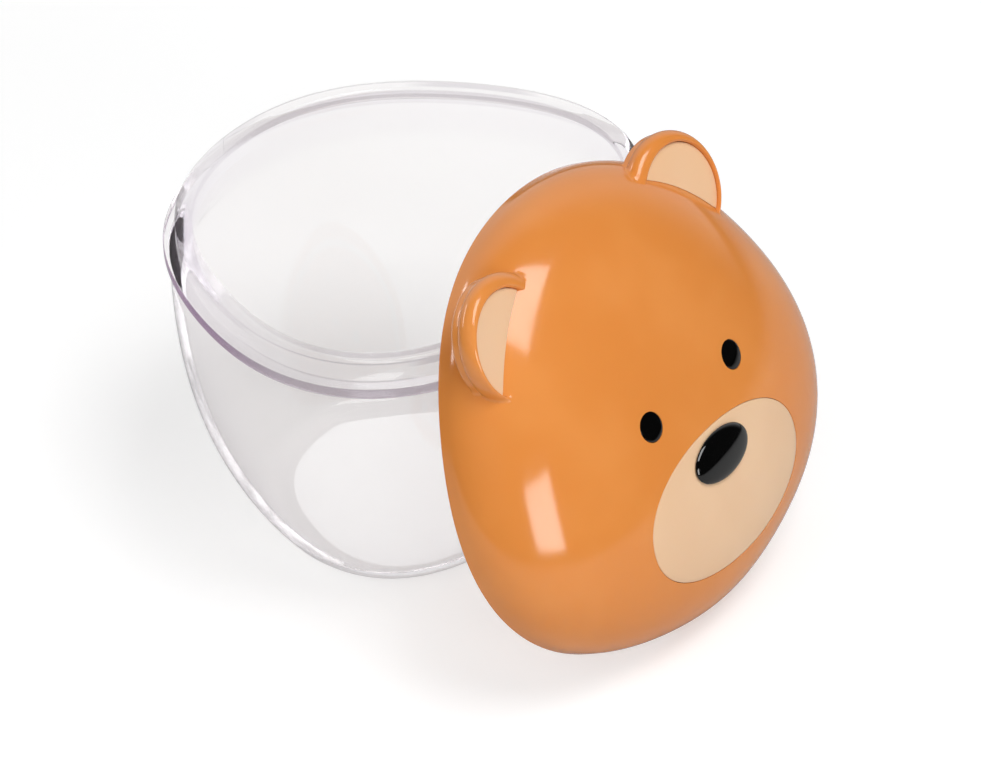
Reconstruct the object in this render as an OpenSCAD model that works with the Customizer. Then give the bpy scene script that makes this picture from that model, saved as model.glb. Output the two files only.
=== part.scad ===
// Toddler snack container: a clear jar, and a bear's-head lid that leans on its front.
// Origin at the middle of the jar's flat base. +Z is up, and -Y points from the jar to the lid.

/* [Outline shared by jar and lid] */
// Mean radius of the head-shaped outline
head_r = 50; // [46:0.5:54]
// How far the crown reaches out, and the chin draws in
crown = 3.15; // [2:0.05:4.5]
// How far the cheeks stand out from the round
cheek = 3; // [2:0.05:4]
// Three-cornered fullness: two cheeks and the crown
corner = 1.85; // [1:0.05:2.4]
// Four-cornered fullness
square_out = 0.25; // [0:0.05:0.8]
// Tightening of the cheek corners
corner_trim = 0.65; // [0:0.05:1]

/* [Jar] */
// Height of the jar, from base to lip
jar_h = 69.2; // [62:0.1:77]
// Height of the neck above the flange
neck_h = 5; // [4:0.1:6.4]
// Thickness of the flange
flange_t = 2.5; // [1.8:0.05:3.2]
// Width of the ledge between the flange's edge and the neck
ledge_w = 2.5; // [2.2:0.05:3]
// Thickness of the lip
lip_t = 3.5; // [2.6:0.1:4.2]
// Rounding of the lip's edges
lip_round = 0.9; // [0.4:0.1:1.2]
// Rounding of the flange's edges
flange_round = 0.5; // [0.2:0.1:0.8]
// How far the bowl's top lies inside the flange's edge
bowl_inset = 1.2; // [0.8:0.1:2]
// Height of the upright band under the flange
band_h = 2; // [1:0.1:4]
// Thickness of the bowl's wall
jar_wall = 2; // [1.4:0.1:2.6]
// Thickness of the floor
floor_t = 2.6; // [2:0.1:4]
// Depth below the base at which the bowl's curve would close
bowl_sink = 11.65; // [8:0.1:16]
// Height of the rounding between bowl and base
base_round = 4.5; // [3:0.1:7]
// Height over which the inside widens from neck to bowl
throat_h = 6; // [4:0.1:9]

/* [Lid] */
// Height of the lid's upright skirt
skirt_h = 2.4; // [1.6:0.1:3.4]
// Height of the dome above the skirt
dome_h = 20.7; // [17:0.1:25]
// Thickness of the lid's wall
lid_wall = 1.5; // [1.2:0.05:1.7]
// How far the lift tab at the chin stands out
tab_out = 0.6; // [0.3:0.1:1.2]
// Height of the lift tab
tab_h = 2.2; // [1.6:0.1:3]
// Half the angle that the lift tab spans
tab_half_angle = 20; // [14:1:28]

/* [Lean of the lid] */
// Angle that the lid has turned from its closed position
lean = 61.2; // [57:0.1:66]
// Gap between the jar and the lid that leans on it
lean_gap = 0.2; // [0.1:0.05:0.6]
// Gap between the lid and the floor
floor_gap = 0.05; // [0.02:0.01:0.1]

/* [Ears] */
// Angle of an ear's middle from the crown
ear_angle = 40.7; // [36:0.1:45]
// Distance of an ear's middle in from the outline
ear_in = 6.5; // [5.5:0.1:8]
// Height of an ear panel's face above the lid's rim
ear_face = 12.7; // [11:0.1:14]
// Outer radius of an ear
ear_r = 12.9; // [11.5:0.1:14]
// Width of an ear's rim round the panel
ear_rim = 2.1; // [1.6:0.1:2.6]
// How far an ear's rim stands in front of the panel
ear_lip = 1.3; // [0.8:0.1:2]
// Rounding of an ear's edges
ear_round = 1.1; // [0.6:0.1:1.2]
// Depth of an ear behind its panel's face
ear_depth = 5.2; // [4:0.1:6.5]
// Angle at which the ears lean in towards the face
ear_lean = 4; // [0:0.5:8]
// Thickness of an ear panel
panel_t = 1.2; // [0.8:0.1:1.8]

/* [Face] */
// Distance of an eye from the face's centre line
eye_x = 14.4; // [12:0.1:17]
// Height of the eyes on the face
eye_y = 4.3; // [3:0.1:6]
// Radius of an eye
eye_r = 3; // [2.4:0.1:3.6]
// Radius of the flange behind an eye
eye_stop_r = 4; // [3.8:0.1:4.8]
// Half the width of the muzzle
muzzle_w = 25.5; // [23:0.1:27]
// Half the height of the muzzle
muzzle_h = 14.4; // [13:0.1:15]
// Height of the muzzle's middle on the face
muzzle_y = -18.3; // [-19:0.1:-17.5]
// Thickness of the muzzle inlay
inlay_t = 0.8; // [0.5:0.05:0.9]
// Half the width of the nose
nose_w = 8.95; // [7.5:0.05:10]
// Half the height of the nose
nose_h = 4.9; // [4:0.1:6]
// How far the nose stands out from the muzzle
nose_out = 1.6; // [1:0.1:2.4]
// Height of the nose on the face
nose_y = -10.1; // [-12:0.1:-9]
// Radius of the nose's peg
peg_r = 2.2; // [1.6:0.1:3]
// How far pegs and stops reach past the wall, inside the lid
peg_past = 1; // [0.6:0.1:1.6]

/* [Seal] */
// Width of the seal ring
seal_w = 2.5; // [1.8:0.1:2.8]
// Height of the seal ring
seal_h = 1.9; // [1.4:0.1:2.4]
// Gap between the closed lid's seal ring and the lip
seal_gap = 0.3; // [0.1:0.05:0.5]
// How far the bead that holds the seal ring stands in from the skirt
bead_in = 0.6; // [0.4:0.05:0.65]
// Height of the bead
bead_h = 0.9; // [0.6:0.1:1.2]

/* [Fit] */
// Gap between pieces that are pressed into each other
fit_gap = 0.1; // [0.05:0.01:0.15]

/* [Hidden] */

BOWL_EASE = 1.3;                       // how much closer the bowl's rings lie near its top
ROUND_MIX = 0.3;                       // middle point of a rounded edge, as a share of its radius
FLOOR_TURN = 0.045;                    // share of the outline in which the inside wall turns
FLOOR_FLAT = 0.14;                     // share of the outline within which the inside reaches the floor
EYE_EDGE = 0.15;                       // rounding of an eye's edge, and its crown
STOP_GAP = 0.4;                        // gap between an eye's flange and the curved wall
SINK = 0.3;                            // how far joined solids reach into each other
SIDES = 64;                            // points round an outline
BOWL_STEPS = 11;                       // rings up the bowl
ROUND_STEPS = 4;                       // rings round the base's edge
DOME_STEPS = 11;                       // rings up the dome
OVAL_STEPS = 5;                        // rings from the muzzle's edge to its middle
OVAL_EASE = 0.8;                       // how much closer those rings lie near its edge
THROAT_STEPS = 4;                      // rings down the throat
EAR_STEP = 22.5;                       // step of the angles round an ear's rounded edges
NOSE_TURNS = [0, 12, 30, 50, 70, 86];  // angles up the nose's dome
BOWL_P = 2.35;                         // powers of the bowl's curve
BOWL_Q = 2.4;
DOME_P = 2.12;                         // powers of the dome's curve
DOME_Q = 2.555;
MUZZLE_P = 2.12;                       // power of the muzzle's oval
DOME_TOP = 88;                         // last angle up the dome, just short of the pole
NEAR_TOP = 0.99;                       // highest share of the dome's height that is measured at
POLE_FADE = 4;                         // how late the wall's inset fades towards the pole
TAB_FOOT = 0.6;                        // share of the lift tab's reach at its foot
TAB_RISE = [0.2, 0.7];                 // shares of its height between which it reaches out in full
TAB_BLUNT = 0.6;                       // bluntness of its two ends
BEAD_FLAT = 1 / 3;                     // share of the bead's height that is flat
FACET_SAG = 0.15;                      // how far a flat facet of the wall can lie inside its curve
PANEL_FROM = 0.6;                      // share of its radius from which a panel's edge is traced
HOLE_IN = 4;                           // depth and length of a hole's cutter, in wall thicknesses
HOLE_LEN = 6;
HALVINGS = 16;                         // halvings of a search
FACET_PARTS = 4;                       // parts in which each facet of the jar's rim is tried
STEP = 0.1;                            // distance over which a slope is taken
SHARE_STEP = 0.01;                     // the same, as a share of the dome's height
PAST = 1;                              // how far a cutting shape runs past what it cuts
$fn = 40;

flange_top = jar_h - neck_h;
flange_low = flange_top - flange_t;
bowl_top = flange_low - band_h;
throat_low = bowl_top - throat_h;
seal_low = neck_h + seal_gap;
panel_r = ear_r - ear_rim;
panel_low = -panel_t - fit_gap;
turn = [for (i = [0 : SIDES - 1]) i * 360 / SIDES];

// Outline: radius at an angle a from the crown, its slope, a point and the outward normal.
function out_r(a) = head_r + crown * cos(a) - cheek * cos(2 * a) + corner * cos(3 * a)
    + square_out * cos(4 * a) - corner_trim * cos(5 * a);
function out_slope(a) = -crown * sin(a) + 2 * cheek * sin(2 * a) - 3 * corner * sin(3 * a)
    - 4 * square_out * sin(4 * a) + 5 * corner_trim * sin(5 * a);
function out_point(a) = out_r(a) * [sin(a), cos(a)];
function out_normal(a) =
    let (r = out_r(a), d = out_slope(a), t = [d * sin(a) + r * cos(a), d * cos(a) - r * sin(a)])
    [-t[1], t[0]] / norm(t);

// One ring of points: the outline scaled by k, drawn in by inset, at height z.
function ring(k, inset, z) =
    [for (a = turn) let (p = out_point(a) * k - out_normal(a) * inset) [p[0], p[1], z]];

// A closed solid through rings of equal count, with a flat cap on the first and the last.
module loft(rings) {
    n = len(rings[0]);
    last = len(rings) - 1;
    sides = [for (j = [0 : last - 1], i = [0 : n - 1])
        let (a = j * n + i, b = j * n + (i + 1) % n)
        each [[a, b, a + n], [b, b + n, a + n]]];
    caps = [[for (i = [n - 1 : -1 : 0]) i], [for (i = [0 : n - 1]) last * n + i]];
    polyhedron(points = [for (r = rings) each r], faces = concat(sides, caps));
}

// A closed hoop through rings of equal count, where the last ring joins the first.
module hoop(rings) {
    n = len(rings[0]);
    m = len(rings);
    faces = [for (j = [0 : m - 1], i = [0 : n - 1])
        let (k = (j + 1) % m, next = (i + 1) % n,
             a = j * n + i, b = j * n + next, c = k * n + i, d = k * n + next)
        each [[a, b, c], [b, d, c]]];
    polyhedron(points = [for (r = rings) each r], faces = faces);
}

function bezier(a, b, c, t) = (1 - t) * (1 - t) * a + 2 * t * (1 - t) * b + t * t * c;

// Bowl: scale of the outline at height z, and how steeply it draws in there.
function bowl_k(z) = pow(1 - pow((bowl_top - z) / (bowl_top + bowl_sink), BOWL_P), 1 / BOWL_Q);
function bowl_tilt(z) = atan2(head_r * (bowl_k(z + STEP) - bowl_k(z - STEP)), 2 * STEP);

// Heights up the bowl between two heights, closer together near the top.
function bowl_heights(low, high, i) = high - (high - low) * pow(1 - i / BOWL_STEPS, BOWL_EASE);

// The base's rounding meets the flat base as far in as it meets the bowl up.
outer_low = [for (i = [0 : ROUND_STEPS - 1])
    let (flat = [bowl_k(0) - base_round / head_r, 0],
         p = bezier(flat, [bowl_k(0), 0], [bowl_k(base_round), base_round], i / ROUND_STEPS))
    ring(p[0], bowl_inset, p[1])];
outer_bowl = [for (i = [0 : BOWL_STEPS])
    let (z = bowl_heights(base_round, bowl_top, i)) ring(bowl_k(z), bowl_inset, z)];
outer_rim = [
    ring(1, bowl_inset, flange_low),
    ring(1, flange_round, flange_low),
    ring(1, 0, flange_low + flange_round),
    ring(1, 0, flange_top - flange_round),
    ring(1, flange_round, flange_top),
    ring(1, ledge_w, flange_top),
    ring(1, ledge_w, jar_h - lip_round),
    ring(1, ledge_w + ROUND_MIX * lip_round, jar_h - ROUND_MIX * lip_round),
    ring(1, ledge_w + lip_round, jar_h)];
lip_in = ledge_w + lip_t;
inner_rim = [
    ring(1, lip_in - lip_round, jar_h),
    ring(1, lip_in - ROUND_MIX * lip_round, jar_h - ROUND_MIX * lip_round),
    ring(1, lip_in, jar_h - lip_round),
    ring(1, lip_in, flange_low)];

// Inside of the bowl: the outside moved in by the wall, square to the surface.
function inner_inset(z) = bowl_inset + jar_wall * cos(bowl_tilt(z));
function inner_z(z) = z + jar_wall * sin(bowl_tilt(z));
inner_throat = [for (i = [1 : THROAT_STEPS - 1])
    let (t = i / THROAT_STEPS, s = t * t * (3 - 2 * t))
    ring(1 + (bowl_k(throat_low) - 1) * s, lip_in + (inner_inset(throat_low) - lip_in) * s,
         flange_low + (inner_z(throat_low) - flange_low) * t)];
inner_end = base_round + floor_t - jar_wall;
inner_bowl = [for (i = [BOWL_STEPS : -1 : 1])
    let (z = bowl_heights(inner_end, throat_low, i)) ring(bowl_k(z), inner_inset(z), inner_z(z))];
inner_low = [for (i = [0 : ROUND_STEPS])
    let (k = bowl_k(inner_end), in = inner_inset(inner_end),
         p = bezier([k, inner_z(inner_end)], [k - FLOOR_TURN, floor_t], [k - FLOOR_FLAT, floor_t],
                    i / ROUND_STEPS))
    ring(p[0], in, p[1])];

module jar() {
    color([0.93, 0.92, 0.95, 0.35])
    loft(concat(outer_low, outer_bowl, outer_rim, inner_rim, inner_throat, inner_bowl, inner_low));
}

// Dome: scale of the outline at a share s of the dome's height.
function dome_k(s) = pow(1 - pow(s, DOME_P), 1 / DOME_Q);
function dome_tilt(s) =
    let (low = max(s - SHARE_STEP, 0), high = min(s + SHARE_STEP, 1))
    atan2(head_r * (dome_k(low) - dome_k(high)), dome_h * (high - low));
function dome_share(w) = min(max((w - skirt_h) / dome_h, 0), NEAR_TOP);
dome_shares = [for (i = [0 : DOME_STEPS - 1]) sin(DOME_TOP * i / (DOME_STEPS - 1))];

// Height of the dome's outside over a point of the face, and the outward normal there.
function dome_z(p) =
    let (k = norm(p) / out_r(atan2(p[0], p[1])))
    skirt_h + dome_h * pow(1 - pow(k, DOME_Q), 1 / DOME_P);
function dome_normal(p) =
    let (nx = (dome_z(p - [STEP, 0]) - dome_z(p + [STEP, 0])) / (2 * STEP),
         ny = (dome_z(p - [0, STEP]) - dome_z(p + [0, STEP])) / (2 * STEP))
    [nx, ny, 1] / norm([nx, ny, 1]);

// Rings up the dome, moved in by depth square to the surface. The skirt is closed at height low.
function dome_rings(depth, low) = concat(
    [ring(1, depth, low)],
    [for (s = dome_shares)
        let (t = dome_tilt(s))
        ring(dome_k(s), depth * cos(t) * dome_fade(s), skirt_h + dome_h * s - depth * sin(t))]);
function dome_fade(s) = min(1, dome_k(s) * POLE_FADE);

// How far the lid's inside wall lies in from the outline at height w, at the cheeks, where it is most.
function wall_in(w) = lid_wall + (head_r + cheek) * (1 - dome_k(dome_share(w)));

// How far the lift tab stands out at an angle from the crown.
function tab_reach(a) =
    let (off = abs(a - 180) / tab_half_angle) off < 1 ? tab_out * pow(cos(90 * off), TAB_BLUNT) : 0;
function tab_ring(share, z) =
    [for (a = turn) let (p = out_point(a) + out_normal(a) * tab_reach(a) * share) [p[0], p[1], z]];
skirt_rings = [tab_ring(TAB_FOOT, 0), tab_ring(1, tab_h * TAB_RISE[0]), tab_ring(1, tab_h * TAB_RISE[1])];

// Where the leaning lid stands: its lowest point on the floor, and its skirt on the jar's flange.
lid_points = [for (r = concat(skirt_rings, dome_rings(0, 0))) each r];
lid_z = floor_gap - min([for (p = lid_points) p[1] * sin(lean) + p[2] * cos(lean)]);
jar_points = [for (r = outer_rim, i = [0 : SIDES - 1], f = [0 : FACET_PARTS - 1])
    r[i] + (r[(i + 1) % SIDES] - r[i]) * f / FACET_PARTS];
// Room between a point of the jar and the lid's inside, square to the wall, with the lid at y.
function room(q, y) =
    let (dy = q[1] - y, dz = q[2] - lid_z,
         v = dy * cos(lean) + dz * sin(lean),
         w = dz * cos(lean) - dy * sin(lean),
         s = dome_share(w))
    max((out_r(atan2(q[0], v)) * dome_k(s) - norm([q[0], v])) * cos(dome_tilt(s)) - lid_wall, -w);
function clear_y(near, far, n) =
    let (mid = (near + far) / 2)
    n == 0 ? mid
    : min([for (q = jar_points) room(q, mid)]) < lean_gap + FACET_SAG ? clear_y(mid, far, n - 1)
    : clear_y(near, mid, n - 1);
lid_y = clear_y(-head_r / 2, -2 * head_r, HALVINGS);

module leaning() {
    translate([0, lid_y, lid_z])
    rotate([lean, 0, 0])
    children();
}

ear_x = (out_r(ear_angle) - ear_in) * sin(ear_angle);
ear_y = (out_r(ear_angle) - ear_in) * cos(ear_angle);

// Solid under the dome's surface, moved in by depth, from height low up.
module dome(depth, low) {
    loft(dome_rings(depth, low));
}

// Puts its children on the dome's outside over a point of the face, with +Z along the normal.
module on_dome(p) {
    n = dome_normal(p);
    translate([p[0], p[1], dome_z(p)])
    rotate([0, acos(n[2]), atan2(n[1], n[0])])
    children();
}

// Puts its children at an ear's middle, on its panel's face. side is -1 for left and 1 for right.
module at_ear(side) {
    translate([side * ear_x, ear_y, ear_face])
    rotate([0, 0, 90 - side * ear_angle])
    rotate([0, -ear_lean, 0])
    children();
}

// An ear: a round shell with rounded edges and a pocket for its panel.
module ear_blank() {
    r = ear_round;
    middle = ear_r - r;
    back = [for (t = [EAR_STEP - 90 : EAR_STEP : 0]) [middle + r * cos(t), -ear_depth + r + r * sin(t)]];
    front = [for (t = [0 : EAR_STEP : 180]) [middle + (t > 90 ? middle - panel_r : r) * cos(t),
                                         ear_lip - r + r * sin(t)]];
    rotate_extrude()
    polygon(concat([[0, -ear_depth], [middle, -ear_depth]], back, front,
                   [[panel_r, panel_low], [0, panel_low]]));
}

module lid_shell() {
    color([0.89, 0.56, 0.27])
    leaning()
    difference() {
        union() {
            loft(concat(skirt_rings, dome_rings(0, tab_h)));
            for (side = [-1, 1]) at_ear(side) ear_blank();
        }
        difference() {
            dome(lid_wall, -PAST);
            bead();
        }
        skin_plate(0, PAST, inlay_t + fit_gap);
        for (side = [-1, 1]) face_hole([side * eye_x, eye_y], eye_r + fit_gap);
        face_hole([0, nose_y], peg_r + fit_gap);
    }
}

// Round hole of radius r through the shell, over a point of the face.
module face_hole(p, r) {
    on_dome(p)
    translate([0, 0, -HOLE_IN * lid_wall])
    cylinder(r = r, h = HOLE_LEN * lid_wall);
}

// Bead inside the skirt, under the seal ring.
module bead() {
    top = seal_low - fit_gap;
    edge = bead_h * (1 - BEAD_FLAT) / 2;
    hoop([ring(1, lid_wall - SINK, top - bead_h), ring(1, lid_wall - SINK, top),
          ring(1, lid_wall + bead_in, top - edge), ring(1, lid_wall + bead_in, top - bead_h + edge)]);
}

// Oval of the muzzle, drawn in by inset and scaled by q, as points of the face.
function oval(inset, q) = [for (a = turn)
    [q * (muzzle_w - inset) * sign(sin(a)) * pow(abs(sin(a)), 2 / MUZZLE_P),
     muzzle_y + q * (muzzle_h - inset) * sign(cos(a)) * pow(abs(cos(a)), 2 / MUZZLE_P)]];
function on_skin(points, depth) =
    [for (p = points) let (n = dome_normal(p)) [p[0], p[1], dome_z(p)] - n * depth];

// An oval plate that follows the dome, from height high above its skin down to depth.
module skin_plate(inset, high, depth) {
    out = [for (i = [1 : OVAL_STEPS]) oval(inset, pow(i / OVAL_STEPS, OVAL_EASE))];
    back = [for (i = [OVAL_STEPS - 1 : -1 : 0]) out[i]];
    loft(concat([for (o = out) on_skin(o, depth)], [for (o = back) on_skin(o, -high)]));
}

module muzzle() {
    color([0.89, 0.74, 0.61])
    leaning()
    difference() {
        skin_plate(fit_gap, 0, inlay_t);
        face_hole([0, nose_y], peg_r + fit_gap);
    }
}

// The nose is a low oval dome with a blunt edge.
nose_rings = [for (t = NOSE_TURNS)
    let (k = cos(t), z = nose_out * sin(t))
    [for (a = turn) [nose_w * k * sin(a), nose_h * k * cos(a), z]]];

module nose() {
    color([0.06, 0.06, 0.06])
    leaning()
    on_dome([0, nose_y]) {
        translate([0, 0, fit_gap])
        rotate([0, 0, 90])
        loft(nose_rings);
        translate([0, 0, -lid_wall - peg_past])
        cylinder(r = peg_r, h = lid_wall + peg_past + fit_gap + SINK);
    }
}

module eye(side) {
    leaning()
    on_dome([side * eye_x, eye_y])
    rotate_extrude()
    polygon([[0, -lid_wall - peg_past], [eye_stop_r, -lid_wall - peg_past],
             [eye_stop_r, -lid_wall - STOP_GAP], [eye_r, -lid_wall - STOP_GAP],
             [eye_r, -EYE_EDGE], [eye_r - 2 * EYE_EDGE, 0], [0, EYE_EDGE]]);
}

// Edge of an ear's panel at a depth behind its face: a round cut off by the dome. It is traced
// from a point on the panel's outer half, and out_way is how far along a direction the rim lies.
function ear_place(side, p) =
    let (away = 90 - side * ear_angle,
         x = p[0] * cos(ear_lean) - p[2] * sin(ear_lean),
         z = p[0] * sin(ear_lean) + p[2] * cos(ear_lean))
    [side * ear_x + x * cos(away) - p[1] * sin(away),
     ear_y + x * sin(away) + p[1] * cos(away),
     ear_face + z];
function off_dome(q) = norm([q[0], q[1]]) - out_r(atan2(q[0], q[1])) * dome_k(dome_share(q[2]));
function out_way(side, from, dir, low, high, n) =
    let (mid = (low + high) / 2, p = from + dir * mid)
    n == 0 ? low
    : norm([p[0], p[1]]) > panel_r - fit_gap || off_dome(ear_place(side, p)) < 2 * fit_gap
        ? out_way(side, from, dir, low, mid, n - 1)
    : out_way(side, from, dir, mid, high, n - 1);
function panel_edge(side, z) =
    let (from = [panel_r * PANEL_FROM, 0, z])
    [for (a = turn) let (dir = [cos(a), sin(a), 0])
        from + dir * out_way(side, from, dir, 0, 2 * panel_r, HALVINGS)];

module ear_panel(side) {
    leaning()
    at_ear(side)
    loft([panel_edge(side, 0), panel_edge(side, -panel_t)]);
}

module seal_ring() {
    top = seal_low + seal_h;
    side_gap = fit_gap + FACET_SAG;
    color([0.85, 0.85, 0.84])
    leaning()
    hoop([ring(1, wall_in(seal_low) + side_gap, seal_low), ring(1, wall_in(top) + side_gap + fit_gap, top),
          ring(1, wall_in(seal_low) + seal_w, top), ring(1, wall_in(seal_low) + seal_w, seal_low)]);
}

jar();
lid_shell();
seal_ring();
muzzle();
nose();
color([0.06, 0.06, 0.06]) eye(-1);  // left_eye
color([0.06, 0.06, 0.06]) eye(1);  // right_eye
color([0.92, 0.77, 0.61]) ear_panel(-1);  // left_ear_panel
color([0.92, 0.77, 0.61]) ear_panel(1);  // right_ear_panel
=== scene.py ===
"""Toddler snack container: a clear jar, and a glossy bear's-head lid that leans on its front.

Sizes in the classes are millimetres, as on the maker's drawing. Meshes are in metres, in the
part's own frame: the origin is the middle of the jar's flat base, +Z is up, and -Y points from
the jar to the lid. On the lid itself, X runs across the face, Y towards the crown and Z out of
the face, with the skirt's edge at height 0.
"""

import logging
import math
from dataclasses import dataclass, field
from enum import Enum
from typing import Callable, Sequence

import bmesh
import bpy
from mathutils import Matrix, Vector


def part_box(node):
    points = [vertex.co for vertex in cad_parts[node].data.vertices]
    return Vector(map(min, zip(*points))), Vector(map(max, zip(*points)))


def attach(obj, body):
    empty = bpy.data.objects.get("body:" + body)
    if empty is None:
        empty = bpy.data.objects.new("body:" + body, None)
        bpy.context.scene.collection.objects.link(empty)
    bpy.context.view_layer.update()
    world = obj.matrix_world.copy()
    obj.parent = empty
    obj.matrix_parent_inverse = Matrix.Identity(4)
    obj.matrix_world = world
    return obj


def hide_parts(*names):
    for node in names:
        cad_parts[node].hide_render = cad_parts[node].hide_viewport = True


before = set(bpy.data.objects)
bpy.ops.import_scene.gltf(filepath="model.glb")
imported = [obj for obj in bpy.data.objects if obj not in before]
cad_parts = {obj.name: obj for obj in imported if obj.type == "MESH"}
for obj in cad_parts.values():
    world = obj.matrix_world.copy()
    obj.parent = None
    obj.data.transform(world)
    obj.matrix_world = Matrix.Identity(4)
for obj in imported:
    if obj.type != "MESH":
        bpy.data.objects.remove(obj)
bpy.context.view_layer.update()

LOG = logging.getLogger("snack_container")
MM = 0.001
QUARTER = math.pi / 2
SHARP_EDGE = math.radians(32)
WELD = 1e-7
WHITE = (1.0, 1.0, 1.0, 1.0)
Colour = tuple[float, float, float, float]


# ---------------------------------------------------------------- shared forms


@dataclass(frozen=True)
class HeadOutline:
    """The head-shaped outline that the jar and the lid share, as a radius that varies with angle.

    Angles are measured from the crown, towards +X.

    Attributes:
        mean: The mean radius.
        crown: How far the crown is pushed out, and the chin in.
        cheek: How far the cheeks are pushed out.
        corner: How far the three rounded corners are pushed out.
        square_out: How far crown, chin and cheeks are squared out.
        corner_trim: How far the crown and the lower cheeks are trimmed.
    """

    mean: float = 49.96
    crown: float = 3.15
    cheek: float = 3.0
    corner: float = 1.85
    square_out: float = 0.25
    corner_trim: float = 0.65

    def radius(self, a: float) -> float:
        """Returns the outline's radius at an angle."""
        return (self.mean + self.crown * math.cos(a) - self.cheek * math.cos(2 * a)
                + self.corner * math.cos(3 * a) + self.square_out * math.cos(4 * a)
                - self.corner_trim * math.cos(5 * a))

    def slope(self, a: float) -> float:
        """Returns how fast the radius grows with the angle."""
        return (-self.crown * math.sin(a) + 2 * self.cheek * math.sin(2 * a)
                - 3 * self.corner * math.sin(3 * a) - 4 * self.square_out * math.sin(4 * a)
                + 5 * self.corner_trim * math.sin(5 * a))

    def point(self, a: float) -> Vector:
        """Returns the outline's point at an angle."""
        return self.radius(a) * Vector((math.sin(a), math.cos(a)))

    def normal(self, a: float) -> Vector:
        """Returns the outward normal of the outline.

        Args:
            a: The angle.

        Returns:
            The normal, 1 long.
        """
        r, d = self.radius(a), self.slope(a)
        along = Vector((d * math.sin(a) + r * math.cos(a), d * math.cos(a) - r * math.sin(a)))
        return Vector((-along.y, along.x)).normalized()

    def ring(self, scale: float, inset: float, height: float, count: int,
             reach: Callable[[float], float] | None = None) -> list[Vector]:
        """Returns one ring of points in metres.

        Args:
            scale: Share of the outline's own size.
            inset: How far the ring is drawn in, square to the outline.
            height: Height of the ring.
            count: Number of points.
            reach: Optional extra distance outwards at an angle.

        Returns:
            The ring's points, from the crown round by the +X side.
        """
        points = []
        for i in range(count):
            a = math.tau * i / count
            out = (reach(a) if reach else 0.0) - inset
            flat = self.point(a) * scale + self.normal(a) * out
            points.append(Vector((flat.x, flat.y, height)) * MM)
        return points


class Skin:
    """A closed mesh drawn up ring by ring: each ring is an extrusion of the one before."""

    def __init__(self, first: Sequence[Vector]) -> None:
        """Starts the mesh from its first ring.

        Args:
            first: The ring's points.
        """
        self.mesh = bmesh.new()
        made = bmesh.ops.create_circle(self.mesh, segments=len(first), radius=1.0)
        self.loop = list(made["verts"])
        self.first_loop = self.loop
        self._place(first)

    def _place(self, points: Sequence[Vector]) -> None:
        """Moves the newest ring to its points."""
        for vertex, point in zip(self.loop, points):
            vertex.co = point

    def _grow(self) -> None:
        """Extrudes the newest ring, and keeps the new one in the same order."""
        ring = set(self.loop)
        edges = dict.fromkeys(e for v in self.loop for e in v.link_edges if e.other_vert(v) in ring)
        made = bmesh.ops.extrude_edge_only(self.mesh, edges=list(edges))
        fresh = {g for g in made["geom"] if isinstance(g, bmesh.types.BMVert)}
        self.loop = [next(e.other_vert(v) for e in v.link_edges if e.other_vert(v) in fresh)
                     for v in self.loop]

    def ring(self, points: Sequence[Vector]) -> None:
        """Adds a ring.

        Args:
            points: As many points as the first ring has.
        """
        self._grow()
        self._place(points)

    def pole(self, point: Vector) -> None:
        """Closes the newest ring to one point."""
        self._grow()
        bmesh.ops.pointmerge(self.mesh, verts=self.loop, merge_co=point)

    def first_pole(self, point: Vector) -> None:
        """Closes the first ring to one point."""
        self.loop = self.first_loop
        self.pole(point)

    def join_ends(self) -> None:
        """Joins the newest ring to the first one, so that the skin is a hoop."""
        first, last = set(self.first_loop), set(self.loop)
        edges = [e for e in self.mesh.edges if e.verts[0] in first and e.verts[1] in first
                 or e.verts[0] in last and e.verts[1] in last]
        bmesh.ops.bridge_loops(self.mesh, edges=edges)

    def finish(self) -> bmesh.types.BMesh:
        """Returns the mesh with its faces turned outwards."""
        bmesh.ops.remove_doubles(self.mesh, verts=self.mesh.verts, dist=WELD)
        bmesh.ops.recalc_face_normals(self.mesh, faces=self.mesh.faces)
        return self.mesh


def arc(centre: tuple[float, float], size: tuple[float, float], start: float, end: float,
        steps: int) -> list[tuple[float, float]]:
    """Returns points on a stretch of an ellipse.

    Args:
        centre: The ellipse's middle.
        size: Its half-axes.
        start: First angle in degrees.
        end: Last angle in degrees.
        steps: Number of stretches between the points.

    Returns:
        The points, both ends included.
    """
    turns = [math.radians(start + (end - start) * i / steps) for i in range(steps + 1)]
    return [(centre[0] + size[0] * math.cos(t), centre[1] + size[1] * math.sin(t)) for t in turns]


def curve(start: tuple[float, float], towards: tuple[float, float], end: tuple[float, float],
          steps: int) -> list[tuple[float, float]]:
    """Returns points on a curve that leaves its start towards one point and ends at another.

    Args:
        start: The first point.
        towards: The point that both ends of the curve aim at.
        end: The last point.
        steps: Number of stretches between the points.

    Returns:
        The points, both ends included.
    """
    shares = [i / steps for i in range(steps + 1)]
    return [tuple((1 - t) ** 2 * a + 2 * t * (1 - t) * b + t * t * c
                  for a, b, c in zip(start, towards, end)) for t in shares]


def spin_profile(profile: Sequence[tuple[float, float]], steps: int) -> bmesh.types.BMesh:
    """Turns a profile about Z.

    Args:
        profile: Radius and height in mm, from one point on the axis to another.
        steps: Number of steps round.

    Returns:
        The closed solid.
    """
    mesh = bmesh.new()
    line = [mesh.verts.new((r * MM, 0.0, z * MM)) for r, z in profile]
    edges = [mesh.edges.new(pair) for pair in zip(line, line[1:])]
    bmesh.ops.spin(mesh, geom=line + edges, cent=(0, 0, 0), axis=(0, 0, 1), angle=math.tau,
                   steps=steps, use_merge=True)
    bmesh.ops.remove_doubles(mesh, verts=mesh.verts, dist=WELD)
    bmesh.ops.recalc_face_normals(mesh, faces=mesh.faces)
    return mesh


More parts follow.
